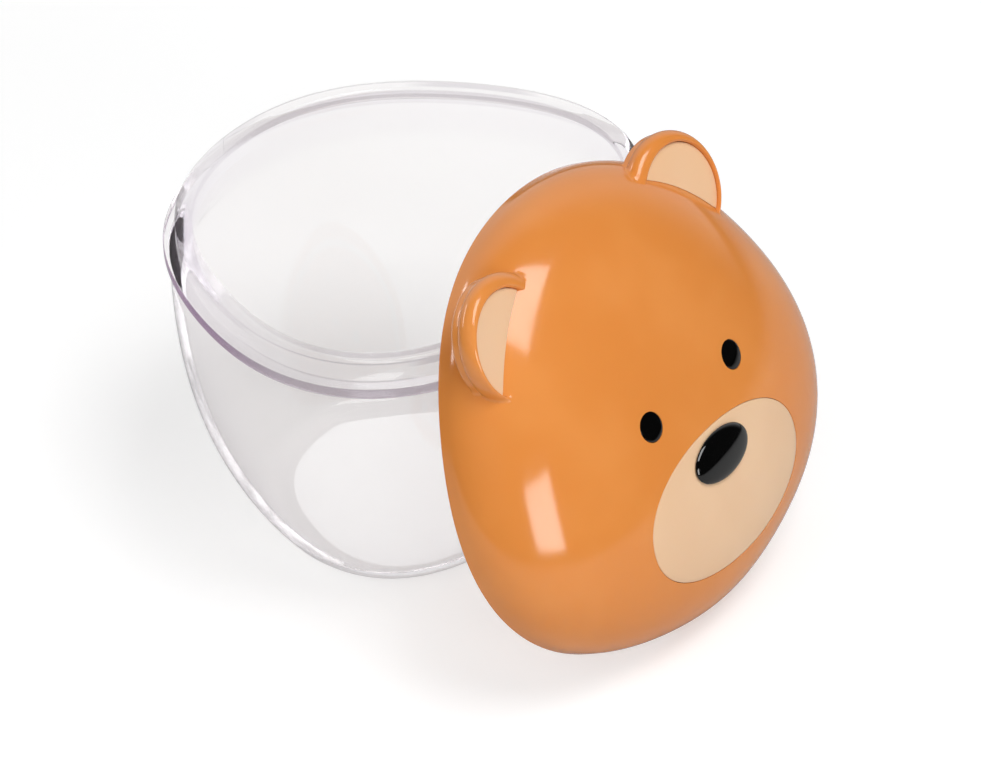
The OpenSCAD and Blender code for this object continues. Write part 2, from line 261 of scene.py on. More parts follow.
def to_object(name: str, mesh: bmesh.types.BMesh) -> bpy.types.Object:
    """Makes an object of a bmesh, smooth but for its sharp edges, and frees the bmesh.

    Args:
        name: The object's name.
        mesh: The finished bmesh.

    Returns:
        The object, at the origin.
    """
    data = bpy.data.meshes.new(name)
    mesh.to_mesh(data)
    mesh.free()
    shape = bpy.data.objects.new(name, data)
    bpy.context.scene.collection.objects.link(shape)
    smooth_faces(shape)
    return shape


def smooth_faces(shape: bpy.types.Object) -> None:
    """Shades an object smooth and keeps its sharp edges.

    Args:
        shape: The object.
    """
    mesh = bmesh.new()
    mesh.from_mesh(shape.data)
    for face in mesh.faces:
        face.smooth = True
    for edge in mesh.edges:
        edge.smooth = not edge.is_manifold or edge.calc_face_angle(0.0) < SHARP_EDGE
    mesh.to_mesh(shape.data)
    mesh.free()


class Join(Enum):
    """How one solid is combined with another."""

    ADD = "UNION"
    CUT = "DIFFERENCE"


def combine(base: bpy.types.Object, tool: bpy.types.Object, how: Join) -> None:
    """Joins a tool solid to a base solid, or cuts it away, and removes the tool.

    Args:
        base: The solid that is kept.
        tool: The solid that is used up.
        how: Whether the tool is added or cut away.
    """
    step = base.modifiers.new("join", "BOOLEAN")
    step.operation = how.value
    step.solver = "MANIFOLD"
    step.object = tool
    ready = base.evaluated_get(bpy.context.evaluated_depsgraph_get())
    data = bpy.data.meshes.new_from_object(ready)
    base.modifiers.remove(step)
    old = base.data
    base.data = data
    bpy.data.meshes.remove(old)
    used = tool.data
    bpy.data.objects.remove(tool)
    bpy.data.meshes.remove(used)


# ---------------------------------------------------------------- finishes


class Wire:
    """A shader socket that plain arithmetic works on: each operation adds its Math node."""

    def __init__(self, graph: "Graph", socket: bpy.types.NodeSocket) -> None:
        """Keeps the socket and the graph that it belongs to."""
        self.graph = graph
        self.socket = socket

    def _math(self, operation: str, *values: "Wire | float") -> "Wire":
        """Returns the result of one Math node."""
        inputs = {i: v for i, v in enumerate(values)}
        return self.graph.node("ShaderNodeMath", {"operation": operation}, inputs)

    def __add__(self, other: "Wire | float") -> "Wire":
        """Adds."""
        return self._math("ADD", self, other)

    __radd__ = __add__

    def __sub__(self, other: "Wire | float") -> "Wire":
        """Subtracts."""
        return self._math("SUBTRACT", self, other)

    def __rsub__(self, other: float) -> "Wire":
        """Subtracts from a number."""
        return self._math("SUBTRACT", other, self)

    def __mul__(self, other: "Wire | float") -> "Wire":
        """Multiplies."""
        return self._math("MULTIPLY", self, other)

    __rmul__ = __mul__

    def __truediv__(self, other: "Wire | float") -> "Wire":
        """Divides."""
        return self._math("DIVIDE", self, other)

    def size(self) -> "Wire":
        """Returns the value without its sign."""
        return self._math("ABSOLUTE", self)

    def root(self) -> "Wire":
        """Returns the value's square root."""
        return self._math("SQRT", self)

    def at_most(self, limit: float) -> "Wire":
        """Returns the value, or the limit where the value is larger."""
        return self._math("MINIMUM", self, limit)

    def above(self, low: float, high: float) -> "Wire":
        """Returns 0 below low, 1 above high and a smooth ramp between."""
        settings = {"interpolation_type": "SMOOTHSTEP"}
        return self.graph.node("ShaderNodeMapRange", settings,
                               {"Value": self, "From Min": low, "From Max": high})

    def between(self, low: float, high: float, soft: float) -> "Wire":
        """Returns 1 from low to high, and 0 beyond, with soft ends."""
        return self.above(low - soft, low) * (1 - self.above(high, high + soft))


class Graph:
    """The nodes of one material or of the world."""

    def __init__(self, tree: bpy.types.NodeTree) -> None:
        """Empties the tree."""
        self.tree = tree
        tree.nodes.clear()

    def node(self, kind: str, settings: dict | None = None, inputs: dict | None = None,
             output: int | str = 0) -> Wire:
        """Adds a node.

        Args:
            kind: The node's type.
            settings: The node's own attributes, which are set first.
            inputs: A value or a Wire for each named or numbered socket.
            output: Which output to return.

        Returns:
            The chosen output.
        """
        made = self.tree.nodes.new(kind)
        for name, value in (settings or {}).items():
            setattr(made, name, value)
        for name, value in (inputs or {}).items():
            if isinstance(value, Wire):
                self.tree.links.new(value.socket, made.inputs[name])
            else:
                made.inputs[name].default_value = value
        return Wire(self, made.outputs[output] if made.outputs else made.inputs[0])

    def place(self) -> Wire:
        """Returns the piece's own coordinates, in metres."""
        return self.node("ShaderNodeTexCoord", output="Object")

    def noise(self, per_mm: float, detail: float = 3.0, roughness: float = 0.55,
              stretch: tuple[float, float, float] = (1.0, 1.0, 1.0), shift: float = 0.0) -> Wire:
        """Returns soft noise on the piece's own coordinates.

        Args:
            per_mm: Features in each millimetre.
            detail: Number of finer layers.
            roughness: Strength of the finer layers.
            stretch: Scale along each axis.
            shift: Moves the pattern, so that two noises differ.

        Returns:
            The noise, from 0 to 1.
        """
        where = self.node("ShaderNodeMapping", {"vector_type": "POINT"},
                          {"Vector": self.place(), "Location": (shift,) * 3, "Scale": stretch})
        return self.node("ShaderNodeTexNoise", {"noise_dimensions": "3D"},
                         {"Vector": where, "Scale": per_mm / MM, "Detail": detail,
                          "Roughness": roughness})

    def blend(self, factor: "Wire | float", first: "Wire | tuple", second: "Wire | tuple") -> Wire:
        """Returns a mix of two colours."""
        settings = {"data_type": "RGBA", "blend_type": "MIX"}
        return self.node("ShaderNodeMix", settings, {0: factor, 6: first, 7: second}, output=2)

    def bump(self, height: Wire, depth_mm: float) -> Wire:
        """Returns a normal that a height of 0 to 1 raises by depth_mm."""
        return self.node("ShaderNodeBump", None,
                         {"Strength": 1.0, "Distance": depth_mm * MM, "Height": height})


def srgb(red: float, green: float, blue: float) -> Colour:
    """Turns display values into a linear colour.

    Args:
        red: Red, from 0 to 255.
        green: Green, from 0 to 255.
        blue: Blue, from 0 to 255.

    Returns:
        The colour, opaque.
    """
    def linear(value: float) -> float:
        """Returns one linear channel."""
        share = value / 255
        return share / 12.92 if share <= 0.04045 else ((share + 0.055) / 1.055) ** 2.4
    return linear(red), linear(green), linear(blue), 1.0


@dataclass(frozen=True)
class MouldedPlastic:
    """Opaque moulded plastic with faint flow clouds, fine grain, handling haze and hairlines.

    Attributes:
        name: The material's name.
        colour: The main colour.
        cloud: The colour that flow clouds lean to.
        polish: Roughness where the surface is clean.
        haze: Added roughness where hands have dulled it.
        ripple: Height in mm of the moulded surface's long waves.
        grain: Height in mm of its fine grain.
        glow: Subsurface weight.
        bend: Index of refraction.
        spread: How far red, green and blue light spread under the surface, as shares of depth.
        depth: Depth in mm that light reaches under the surface.
    """

    name: str
    colour: Colour
    cloud: Colour
    polish: float
    haze: float
    ripple: float
    grain: float
    glow: float = 0.0
    bend: float = 1.57
    spread: tuple[float, float, float] = (1.0, 0.45, 0.2)
    depth: float = 0.8

    def build(self) -> bpy.types.Material:
        """Returns the material."""
        material = bpy.data.materials.new(self.name)
        material.use_nodes = True
        graph = Graph(material.node_tree)
        flow = graph.noise(0.045, detail=2.0, roughness=0.5).above(0.35, 0.7)
        colour = graph.blend(flow, self.colour, self.cloud)
        hands = graph.noise(0.11, detail=4.0, roughness=0.6, shift=0.31).above(0.45, 0.75)
        hairline = graph.noise(0.35, detail=2.0, roughness=0.5, stretch=(1.0, 14.0, 1.0),
                               shift=0.17).above(0.66, 0.7)
        rough = hands * self.haze + hairline * (0.5 * self.haze) + self.polish
        waves = graph.noise(0.12, detail=1.0, roughness=0.4, shift=0.53)
        grain = graph.noise(2.2, detail=2.0, roughness=0.6, shift=0.71)
        height = waves * self.ripple + grain * self.grain
        shader = graph.node("ShaderNodeBsdfPrincipled", None, {
            "Base Color": colour, "Roughness": rough, "IOR": self.bend,
            "Subsurface Weight": self.glow, "Subsurface Radius": self.spread,
            "Subsurface Scale": self.depth * MM, "Normal": graph.bump(height, 1.0)})
        graph.node("ShaderNodeOutputMaterial", None, {"Surface": shader})
        return material


@dataclass(frozen=True)
class ClearPlastic:
    """Clear moulded plastic, faintly violet through its thickness, with haze and hairlines.

    It bends light less than real clear plastic does, because light caught in the thick lip would
    otherwise show black. Its colour carries painted violet-grey shade on the flange's edge, deepest
    towards one side of the jar and faintest towards another, and painted shade lines at the neck's
    root and round the lip, in place of the shade that real clear plastic's roundings show.

    Attributes:
        name: The material's name.
        jar: The jar, on whose flange's edge and lip a deeper tint is painted as shade.
        tint: Colour that thick plastic leans to.
        density: Absorption per metre.
        polish: Roughness where the surface is clean.
        haze: Added roughness where hands have dulled it.
        ripple: Height in mm of the moulded wall's long waves.
        seam: Height in mm of the mould's seam over the lip.
        seam_start: Depths under the flange's top at which the seam starts and is full.
        seam_half: Distances from the seam's middle at which it starts to fall and is gone.
        speck: Height in mm of small specks.
        bend: Index of refraction.
        clarity: Share of the light that passes without scattering.
        coat: Weight of the glossy coat, which gives the highlights.
        coat_polish: Roughness of that coat.
        surface: Colour of each surface.
        edge: Colour of the painted shade that the flange's edge and the lip's roundings lean to.
        edge_shade_least: Strength of that lean on the flange's edge away from its deepest place.
        edge_shade_more: What the deepest place adds to it.
        edge_shade_fade: Share that the faintest place loses.
        edge_shade_margin: How far the lean keeps from the flange's lower and upper face.
        line: Strength of that painted shade on the lines at the neck and the lip.
        root_shade_line: Heights above the flange of the line at the neck's root.
        lip_shade_line: Depths under the lip's top of the line outside it.
        lip_shade_band: Depths under the lip's top of the band inside it.
        outer_depth: How far inside the neck's outer face a place still counts as outside.
        deepest: Direction, in degrees from the jar's Y axis, where the painted shade on the flange's
            edge is deepest.
        deep_reach: Cosines off that direction at which it sets in and is full.
        faintest: Direction, in degrees from the jar's Y axis, where the painted shade on the flange's
            edge is faintest.
        faint_reach: Cosines off that direction at which it sets in and is full.
        let_through: Share of light that passes straight through the neck near the deepest
            direction, where a look along the wall would catch it.
        let_reach: Cosines off the deepest direction at which that sets in and is full.
        let_start: Depth under the flange's top at which it sets in.
    """

    name: str
    jar: "Jar"
    tint: Colour
    density: float
    polish: float
    haze: float
    ripple: float
    seam: float = 0.03
    seam_start: tuple[float, float] = (1.2, 0.2)
    seam_half: tuple[float, float] = (0.05, 0.2)
    speck: float = 0.02
    bend: float = 1.05
    clarity: float = 0.97
    coat: float = 0.6
    coat_polish: float = 0.02
    surface: Colour = (0.985, 0.978, 0.968, 1.0)
    # Painted shade colour for the flange's edge and the lines at the neck and the lip.
    edge: Colour = (0.12, 0.045, 0.13, 1.0)
    edge_shade_least: float = 0.7
    edge_shade_more: float = 0.28
    edge_shade_fade: float = 0.8
    edge_shade_margin: tuple[float, float] = (0.25, 0.2)
    line: float = 0.4
    root_shade_line: tuple[float, float] = (0.05, 0.2)
    lip_shade_line: tuple[float, float] = (0.9, 0.7)
    lip_shade_band: tuple[float, float] = (1.9, 0.7)
    outer_depth: float = 0.46
    deepest: float = -47.0
    deep_reach: tuple[float, float] = (0.55, 0.95)
    faintest: float = 55.0
    faint_reach: tuple[float, float] = (0.1, 0.6)
    let_through: float = 0.6
    let_reach: tuple[float, float] = (0.5, 0.8)
    let_start: float = 0.4

    def build(self) -> bpy.types.Material:
        """Returns the material."""
        material = bpy.data.materials.new(self.name)
        material.use_nodes = True
        graph = Graph(material.node_tree)
        across, along, level = (
            graph.node("ShaderNodeSeparateXYZ", None, {0: graph.place()}, output=axis) / MM
            for axis in ("X", "Y", "Z"))
        reach = (across * across + along * along).root()
        deep, faint = (self.facing(across, along, reach, azimuth)
                       for azimuth in (self.deepest, self.faintest))
        # Painted shade on the flange's edge: deepest towards one side of the jar, faintest towards
        # another.
        strength = ((deep.above(*self.deep_reach) * self.edge_shade_more + self.edge_shade_least)
                    * (1 - faint.above(*self.faint_reach) * self.edge_shade_fade))
        # The base colour leans to painted shade on the flange's edge and as lines at the neck and the
        # lip.
        colour = graph.blend(self.thick(along, reach, level, strength), self.surface, self.edge)
        top = self.jar.flange_top
        grazed = deep.above(*self.let_reach) * level.above(top - self.let_start, top)
        hands = graph.noise(0.09, detail=4.0, roughness=0.6, shift=0.23).above(0.5, 0.8)
        hairline = graph.noise(0.3, detail=2.0, roughness=0.5, stretch=(1.0, 1.0, 12.0),
                               shift=0.41).above(0.67, 0.71)
        shader = graph.node("ShaderNodeBsdfPrincipled", None, {
            "Base Color": colour, "Roughness": (hands + hairline) * self.haze + self.polish,
            "IOR": self.bend, "Transmission Weight": self.clarity,
            "Alpha": 1 - grazed * self.let_through, "Coat Weight": self.coat,
            "Coat Roughness": self.coat_polish,
            "Normal": graph.bump(self.relief(graph, across, level), 1.0)})
        body = graph.node("ShaderNodeVolumeAbsorption", None,
                          {"Color": self.tint, "Density": self.density})
        graph.node("ShaderNodeOutputMaterial", None, {"Surface": shader, "Volume": body})
        return material

    def relief(self, graph: Graph, across: Wire, level: Wire) -> Wire:
        """Returns the height in mm of the waves, the seam over the lip and the specks.

        Args:
            graph: The material's graph.
            across: X of the place, in mm.
            level: Height of the place, in mm.

        Returns:
            The height.
        """
        waves = graph.noise(0.06, detail=1.0, roughness=0.4, shift=0.13)
        start = level.above(*(self.jar.flange_top - drop for drop in self.seam_start))
        seam = start * (1 - across.size().above(*self.seam_half))
        speck = graph.noise(0.9, detail=1.0, roughness=0.4, shift=0.61).above(0.78, 0.82)
        return waves * self.ripple + seam * self.seam + speck * self.speck

    @staticmethod
    def facing(across: Wire, along: Wire, reach: Wire, azimuth: float) -> Wire:
        """Returns the cosine between a place's direction from the jar's axis and a direction.

        Args:
            across: X of the place.
            along: Y of the place.
            reach: Distance of the place from the jar's axis.
            azimuth: The direction, in degrees from the Y axis.

        Returns:
            The cosine.
        """
        angle = math.radians(azimuth)
        return (across * math.sin(angle) + along * math.cos(angle)) / reach

    def thick(self, along: Wire, reach: Wire, level: Wire, strength: Wire) -> Wire:
        """Returns the share of painted shade: on the flange's edge, and as lines at the neck and the
        lip.

        Args:
            along: Y of the place, in mm.
            reach: Distance of the place from the jar's axis, in mm.
            level: Height of the place, in mm.
            strength: How far the flange's edge leans to the painted shade there.

        Returns:
            The share of the painted shade colour.
        """
        jar, shape = self.jar, self.jar.outline
        turn = along / reach
        square = turn * turn
        neck = (shape.mean - jar.ledge - self.outer_depth + shape.crown * turn
                - shape.cheek * (2 * square - 1) + shape.corner * turn * (4 * square - 3))
        outer = (reach - neck).above(0.0, 0.5)
        low, high = self.edge_shade_margin
        flange = outer * level.between(jar.flange_low + low, jar.flange_top - high, 0.15)
        # Painted shade lines at the neck's root and outside the lip, and a painted shade band inside
        # the lip.
        root = level.between(*(jar.flange_top + rise for rise in self.root_shade_line), 0.1)
        lip = level.between(*(jar.height - drop for drop in self.lip_shade_line), 0.15)
        inner = (1 - outer) * level.between(*(jar.height - drop for drop in self.lip_shade_band), 0.4)
        return flange * strength + (outer * (root + lip) + inner) * self.line


class Finishes:
    """The container's materials, each made once."""

    def __init__(self, jar: "Jar") -> None:
        """Builds every finish.

        Args:
            jar: The jar, whose sizes the clear plastic's painted edge shade follows.
        """
        self.orange = MouldedPlastic(
            "orange_plastic", srgb(226, 140, 66), srgb(231, 147, 74),
            polish=0.11, haze=0.07, ripple=0.004, grain=0.0004, glow=0.06).build()
        self.muzzle = MouldedPlastic(
            "muzzle_plastic", srgb(234, 194, 155), srgb(238, 200, 162),
            polish=0.3, haze=0.08, ripple=0.004, grain=0.0008, glow=0.06).build()
        self.ear_panel = MouldedPlastic(
            "ear_panel_plastic", srgb(240, 196, 153), srgb(241, 200, 161),
            polish=0.32, haze=0.08, ripple=0.004, grain=0.0008, glow=0.06).build()
        self.black = MouldedPlastic(
            "black_plastic", srgb(3, 3, 3), srgb(5, 5, 5),
            polish=0.06, haze=0.08, ripple=0.003, grain=0.0003).build()
        self.silicone = MouldedPlastic(
            "seal_silicone", srgb(226, 226, 223), srgb(233, 233, 231),
            polish=0.45, haze=0.1, ripple=0.004, grain=0.0012, glow=0.2).build()
        self.clear = ClearPlastic(
            "clear_plastic", jar, srgb(210, 200, 216),
            density=26.0, polish=0.012, haze=0.05, ripple=0.012).build()


def finish_piece(piece: bpy.types.Object, material: bpy.types.Material, body: str, slot: str,
                 *nodes: str) -> bpy.types.Object:
    """Gives a piece its material, its body and the CAD nodes that it stands for.

    Args:
        piece: The piece.
        material: Its finish.
        body: The body that it moves with.
        slot: The record's material slot; not used.
        nodes: The CAD nodes that it replaces.

    Returns:
        The piece.
    """
    piece.data.materials.clear()
    piece.data.materials.append(material)
    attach(piece, body)
    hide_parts(*nodes)
    LOG.info("%s: %d faces, rides on %s", piece.name, len(piece.data.polygons), body)
    return piece


# ---------------------------------------------------------------- the jar


@dataclass
class Jar:
    """The clear jar: a rounded bowl, a flange, a straight neck and a thick rounded lip.

    Attributes:
        outline: The outline that the jar shares with the lid.
        height: From the base to the lip.
        neck: Height of the neck above the flange.
        flange: Thickness of the flange.
        ledge: Width of the ledge between the flange's edge and the neck.
        lip: Thickness of the lip.
        lip_round: Rounding of the lip's edges.
        flange_round: Rounding of the flange's edges.
        root: Rounding where the neck stands on the flange.
        undercut: Width and height of the small rounding where the bowl meets the flange.
        bowl_inset: How far the bowl's top lies inside the flange's edge.
        band: Height of the upright band under the flange.
        wall: Thickness of the bowl's wall.
        floor: Thickness of the floor.
        sink: Depth below the base at which the bowl's curve would close.
        base_round: Height of the rounding between bowl and base.
        throat: Height over which the inside widens from neck to bowl.
        throat_top: Height above the flange's lower face at which that widening starts.
        corner: Shares of the outline at which the inside's rounding turns, and meets the floor.
        power: Powers of the bowl's curve.
        crowd: Power that sets the rings closer together near the bowl's top.
        count: Points round a ring.
        rings: Rings up a side of the bowl.
        base_rings: Rings on the flat of the base and of the floor.
        throat_rings: Rings down the throat.
    """

    outline: HeadOutline
    height: float = 69.2
    neck: float = 5.0
    flange: float = 2.5
    ledge: float = 2.5
    lip: float = 3.5
    lip_round: float = 0.9
    flange_round: float = 0.5
    root: float = 0.35
    undercut: tuple[float, float] = (0.25, 0.3)
    bowl_inset: float = 1.2
    band: float = 2.0
    wall: float = 2.0
    floor: float = 2.6
    sink: float = 11.65
    base_round: float = 4.5
    throat: float = 6.0
    throat_top: float = 0.6
    corner: tuple[float, float] = (0.045, 0.14)
    power: tuple[float, float] = (2.35, 2.4)
    crowd: float = 1.25
    count: int = 256
    rings: int = 44
    base_rings: int = 6
    throat_rings: int = 9

    @property
    def flange_top(self) -> float:
        """Returns the height of the flange's upper face."""
        return self.height - self.neck

    @property
    def flange_low(self) -> float:
        """Returns the height of the flange's lower face."""
        return self.flange_top - self.flange

    @property
    def bowl_top(self) -> float:
        """Returns the height at which the bowl's curve starts."""
        return self.flange_low - self.band

    def scale(self, z: float) -> float:
        """Returns the bowl's share of the outline at a height."""
        drop = max(self.bowl_top - z, 0.0) / (self.bowl_top + self.sink)
        return (1 - drop ** self.power[0]) ** (1 / self.power[1])

    def tilt(self, z: float) -> float:
        """Returns how steeply the bowl draws in at a height.

        Args:
            z: The height.

        Returns:
            The angle off the upright, in radians.
        """
        step = 0.1
        widening = self.outline.mean * (self.scale(z + step) - self.scale(z - step))
        return math.atan2(widening, 2 * step)

    def heights(self, low: float, high: float) -> list[float]:
        """Returns heights up the bowl, closer together near the top."""
        shares = [(1 - i / self.rings) ** self.crowd for i in range(self.rings + 1)]
        return [high - (high - low) * share for share in shares]

    def outside(self) -> list[tuple[float, float, float]]:
        """Returns scale, inset and height of the rings from the base's middle to the lip."""
        top = self.base_round
        flat = self.scale(0) - top / self.outline.mean
        shares = [i / self.base_rings for i in range(1, self.base_rings)]
        rows = [(flat * share, self.bowl_inset * share, 0.0) for share in shares]
        corner = curve((flat, 0.0), (self.scale(0), 0.0), (self.scale(top), top), 14)
        rows += [(k, self.bowl_inset, z) for k, z in corner[:-1]]
        rows += [(self.scale(z), self.bowl_inset, z) for z in self.heights(top, self.bowl_top)]
        rows += [(1.0, inset, z) for inset, z in self.rim()]
        return rows

    def rim(self) -> list[tuple[float, float]]:
        """Returns inset and height of the rings from under the flange to the lip's inner edge."""
        edge, lip = self.flange_round, self.lip_round
        low, top, high = self.flange_low, self.flange_top, self.height
        in_by, up_by = self.undercut
        foot = self.ledge - self.root
        inner = self.ledge + self.lip
        turn = 0.08
        rows = [(self.bowl_inset, low - up_by), (self.bowl_inset - turn, low - turn),
                (self.bowl_inset - in_by, low)]
        rows += arc((edge, low + edge), (-edge, -edge), 90, 0, 5)
        rows += arc((edge, top - edge), (-edge, edge), 0, 90, 5)
        rows += arc((foot, top + self.root), (self.root, -self.root), 90, 0, 4)
        rows += arc((self.ledge + lip, high - lip), (-lip, lip), 0, 90, 7)
        rows += arc((inner - lip, high - lip), (lip, lip), 90, 0, 7)
        return rows

    def inside(self) -> list[tuple[float, float, float]]:
        """Returns scale, inset and height of the rings from the neck down to the floor."""
        inner = self.ledge + self.lip
        low = self.bowl_top - self.throat
        foot = self.inner(low)
        rows = [(1.0, inner, self.flange_low + self.throat_top)]
        for i in range(self.throat_rings):
            t = i / self.throat_rings
            s = t * t * (3 - 2 * t)
            rows.append((1 + (foot[0] - 1) * s, inner + (foot[1] - inner) * s,
                         self.flange_low + (foot[2] - self.flange_low) * t))
        end = self.base_round + self.floor - self.wall
        rows += [self.inner(z) for z in reversed(self.heights(end, low))]
        scale, inset, height = rows[-1]
        turn, flat = (scale - share for share in self.corner)
        corner = curve((scale, height), (turn, self.floor), (flat, self.floor), 12)
        rows += [(k, inset, z) for k, z in corner[1:]]
        shares = [i / self.base_rings for i in range(self.base_rings - 1, 0, -1)]
        rows += [(flat * share, inset * share, self.floor) for share in shares]
        return rows

    def inner(self, z: float) -> tuple[float, float, float]:
        """Returns scale, inset and height of the inside, one wall in from the outside at z."""
        tilt = self.tilt(z)
        return (self.scale(z), self.bowl_inset + self.wall * math.cos(tilt),
                z + self.wall * math.sin(tilt))

    def build(self, finishes: Finishes) -> bpy.types.Object:
        """Builds and dresses the jar.

        Args:
            finishes: The container's materials.

        Returns:
            The finished jar.
        """
        rows = self.outside() + self.inside()
        skin = Skin(self.outline.ring(*rows[0], self.count))
        for row in rows[1:]:
            skin.ring(self.outline.ring(*row, self.count))
        skin.pole(Vector((0, 0, self.floor * MM)))
        skin.first_pole(Vector((0, 0, 0)))
        piece = to_object("clear_jar", skin.finish())
        return finish_piece(piece, finishes.clear, "jar", "clear_plastic", "jar")


# ---------------------------------------------------------------- the lid


@dataclass(frozen=True)
class Dome:
    """The lid's domed face, above its upright skirt.

    Attributes:
        outline: The outline that the lid shares with the jar.
        skirt: Height of the skirt.
        rise: Height of the dome above the skirt.
        power: Powers of the dome's height and width.
    """

    outline: HeadOutline
    skirt: float = 2.4
    rise: float = 20.7
    power: tuple[float, float] = (2.12, 2.555)

    def scale(self, share: float) -> float:
        """Returns the dome's share of the outline at a share of its height."""
        return (1 - min(max(share, 0.0), 1.0) ** self.power[0]) ** (1 / self.power[1])

    def height(self, x: float, y: float) -> float:
        """Returns the dome's height over a point of the face."""
        k = math.hypot(x, y) / self.outline.radius(math.atan2(x, y))
        return self.skirt + self.rise * (1 - min(k, 1.0) ** self.power[1]) ** (1 / self.power[0])

    def level(self, x: float, y: float, z: float) -> float:
        """Returns about how far a point lies outside the dome.

        Args:
            x: Place across the face.
            y: Place towards the crown.
            z: Height above the skirt's edge.

        Returns:
            The distance in mm, negative inside.
        """
        reach = self.outline.radius(math.atan2(x, y))
        k = max(math.hypot(x, y) / reach, 1e-6)
        s = max(z - self.skirt, 0.0) / self.rise
        p, q = self.power
        value = k ** q + s ** p - 1
        slope = math.hypot(q * k ** (q - 1) / reach, p * s ** (p - 1) / self.rise if s > 0 else 0.0)
        return value / max(slope, 1e-3)

    def normal(self, x: float, y: float) -> Vector:
        """Returns the dome's outward normal over a point of the face.

        Args:
            x: Place across the face.
            y: Place towards the crown.

        Returns:
            The normal, 1 long.
        """
        d = 0.2
        dx = (self.height(x - d, y) - self.height(x + d, y)) / (2 * d)
        dy = (self.height(x, y - d) - self.height(x, y + d)) / (2 * d)
        return Vector((dx, dy, 1.0)).normalized()

    def away(self, x: float, y: float, z: float) -> Vector:
        """Returns the direction in which a point moves straight off the dome.

        Args:
            x: Place across the face.
            y: Place towards the crown.
            z: Height above the skirt's edge.

        Returns:
            The direction, 1 long.
        """
        d = 0.05
        return Vector((self.level(x + d, y, z) - self.level(x - d, y, z),
                       self.level(x, y + d, z) - self.level(x, y - d, z),
                       self.level(x, y, z + d) - self.level(x, y, z - d))).normalized()

    def seat(self, x: float, y: float) -> Matrix:
        """Returns the placing of a piece that sits on the dome.

        Args:
            x: Place across the face.
            y: Place towards the crown.

        Returns:
            The placing, in metres.
        """
        n = self.normal(x, y)
        turn = Matrix.Rotation(math.atan2(n.y, n.x), 4, "Z") @ Matrix.Rotation(math.acos(n.z), 4, "Y")
        return Matrix.Translation(Vector((x, y, self.height(x, y))) * MM) @ turn

    def rows(self, depth: float, steps: int) -> list[tuple[float, float, float]]:
        """Returns scale, inset and height of rings up the dome, moved in square to its surface.

        Args:
            depth: How far the rings are moved in.
            steps: Number of rings.

        Returns:
            The rings, from the skirt's top to just under the dome's middle.
        """
        made = []
        step = 0.004
        for i in range(steps):
            t = QUARTER * i / steps
            s, k = math.sin(t) ** (2 / self.power[0]), math.cos(t) ** (2 / self.power[1])
            lower, upper = max(s - step, 0.0), min(s + step, 1.0)
            fall = self.outline.mean * (self.scale(lower) - self.scale(upper))
            tilt = math.atan2(fall, self.rise * (upper - lower))
            fade = min(1.0, 4 * k)
            made.append((k, depth * math.cos(tilt) * fade,
                         self.skirt + self.rise * s - depth * math.sin(tilt)))
        return made


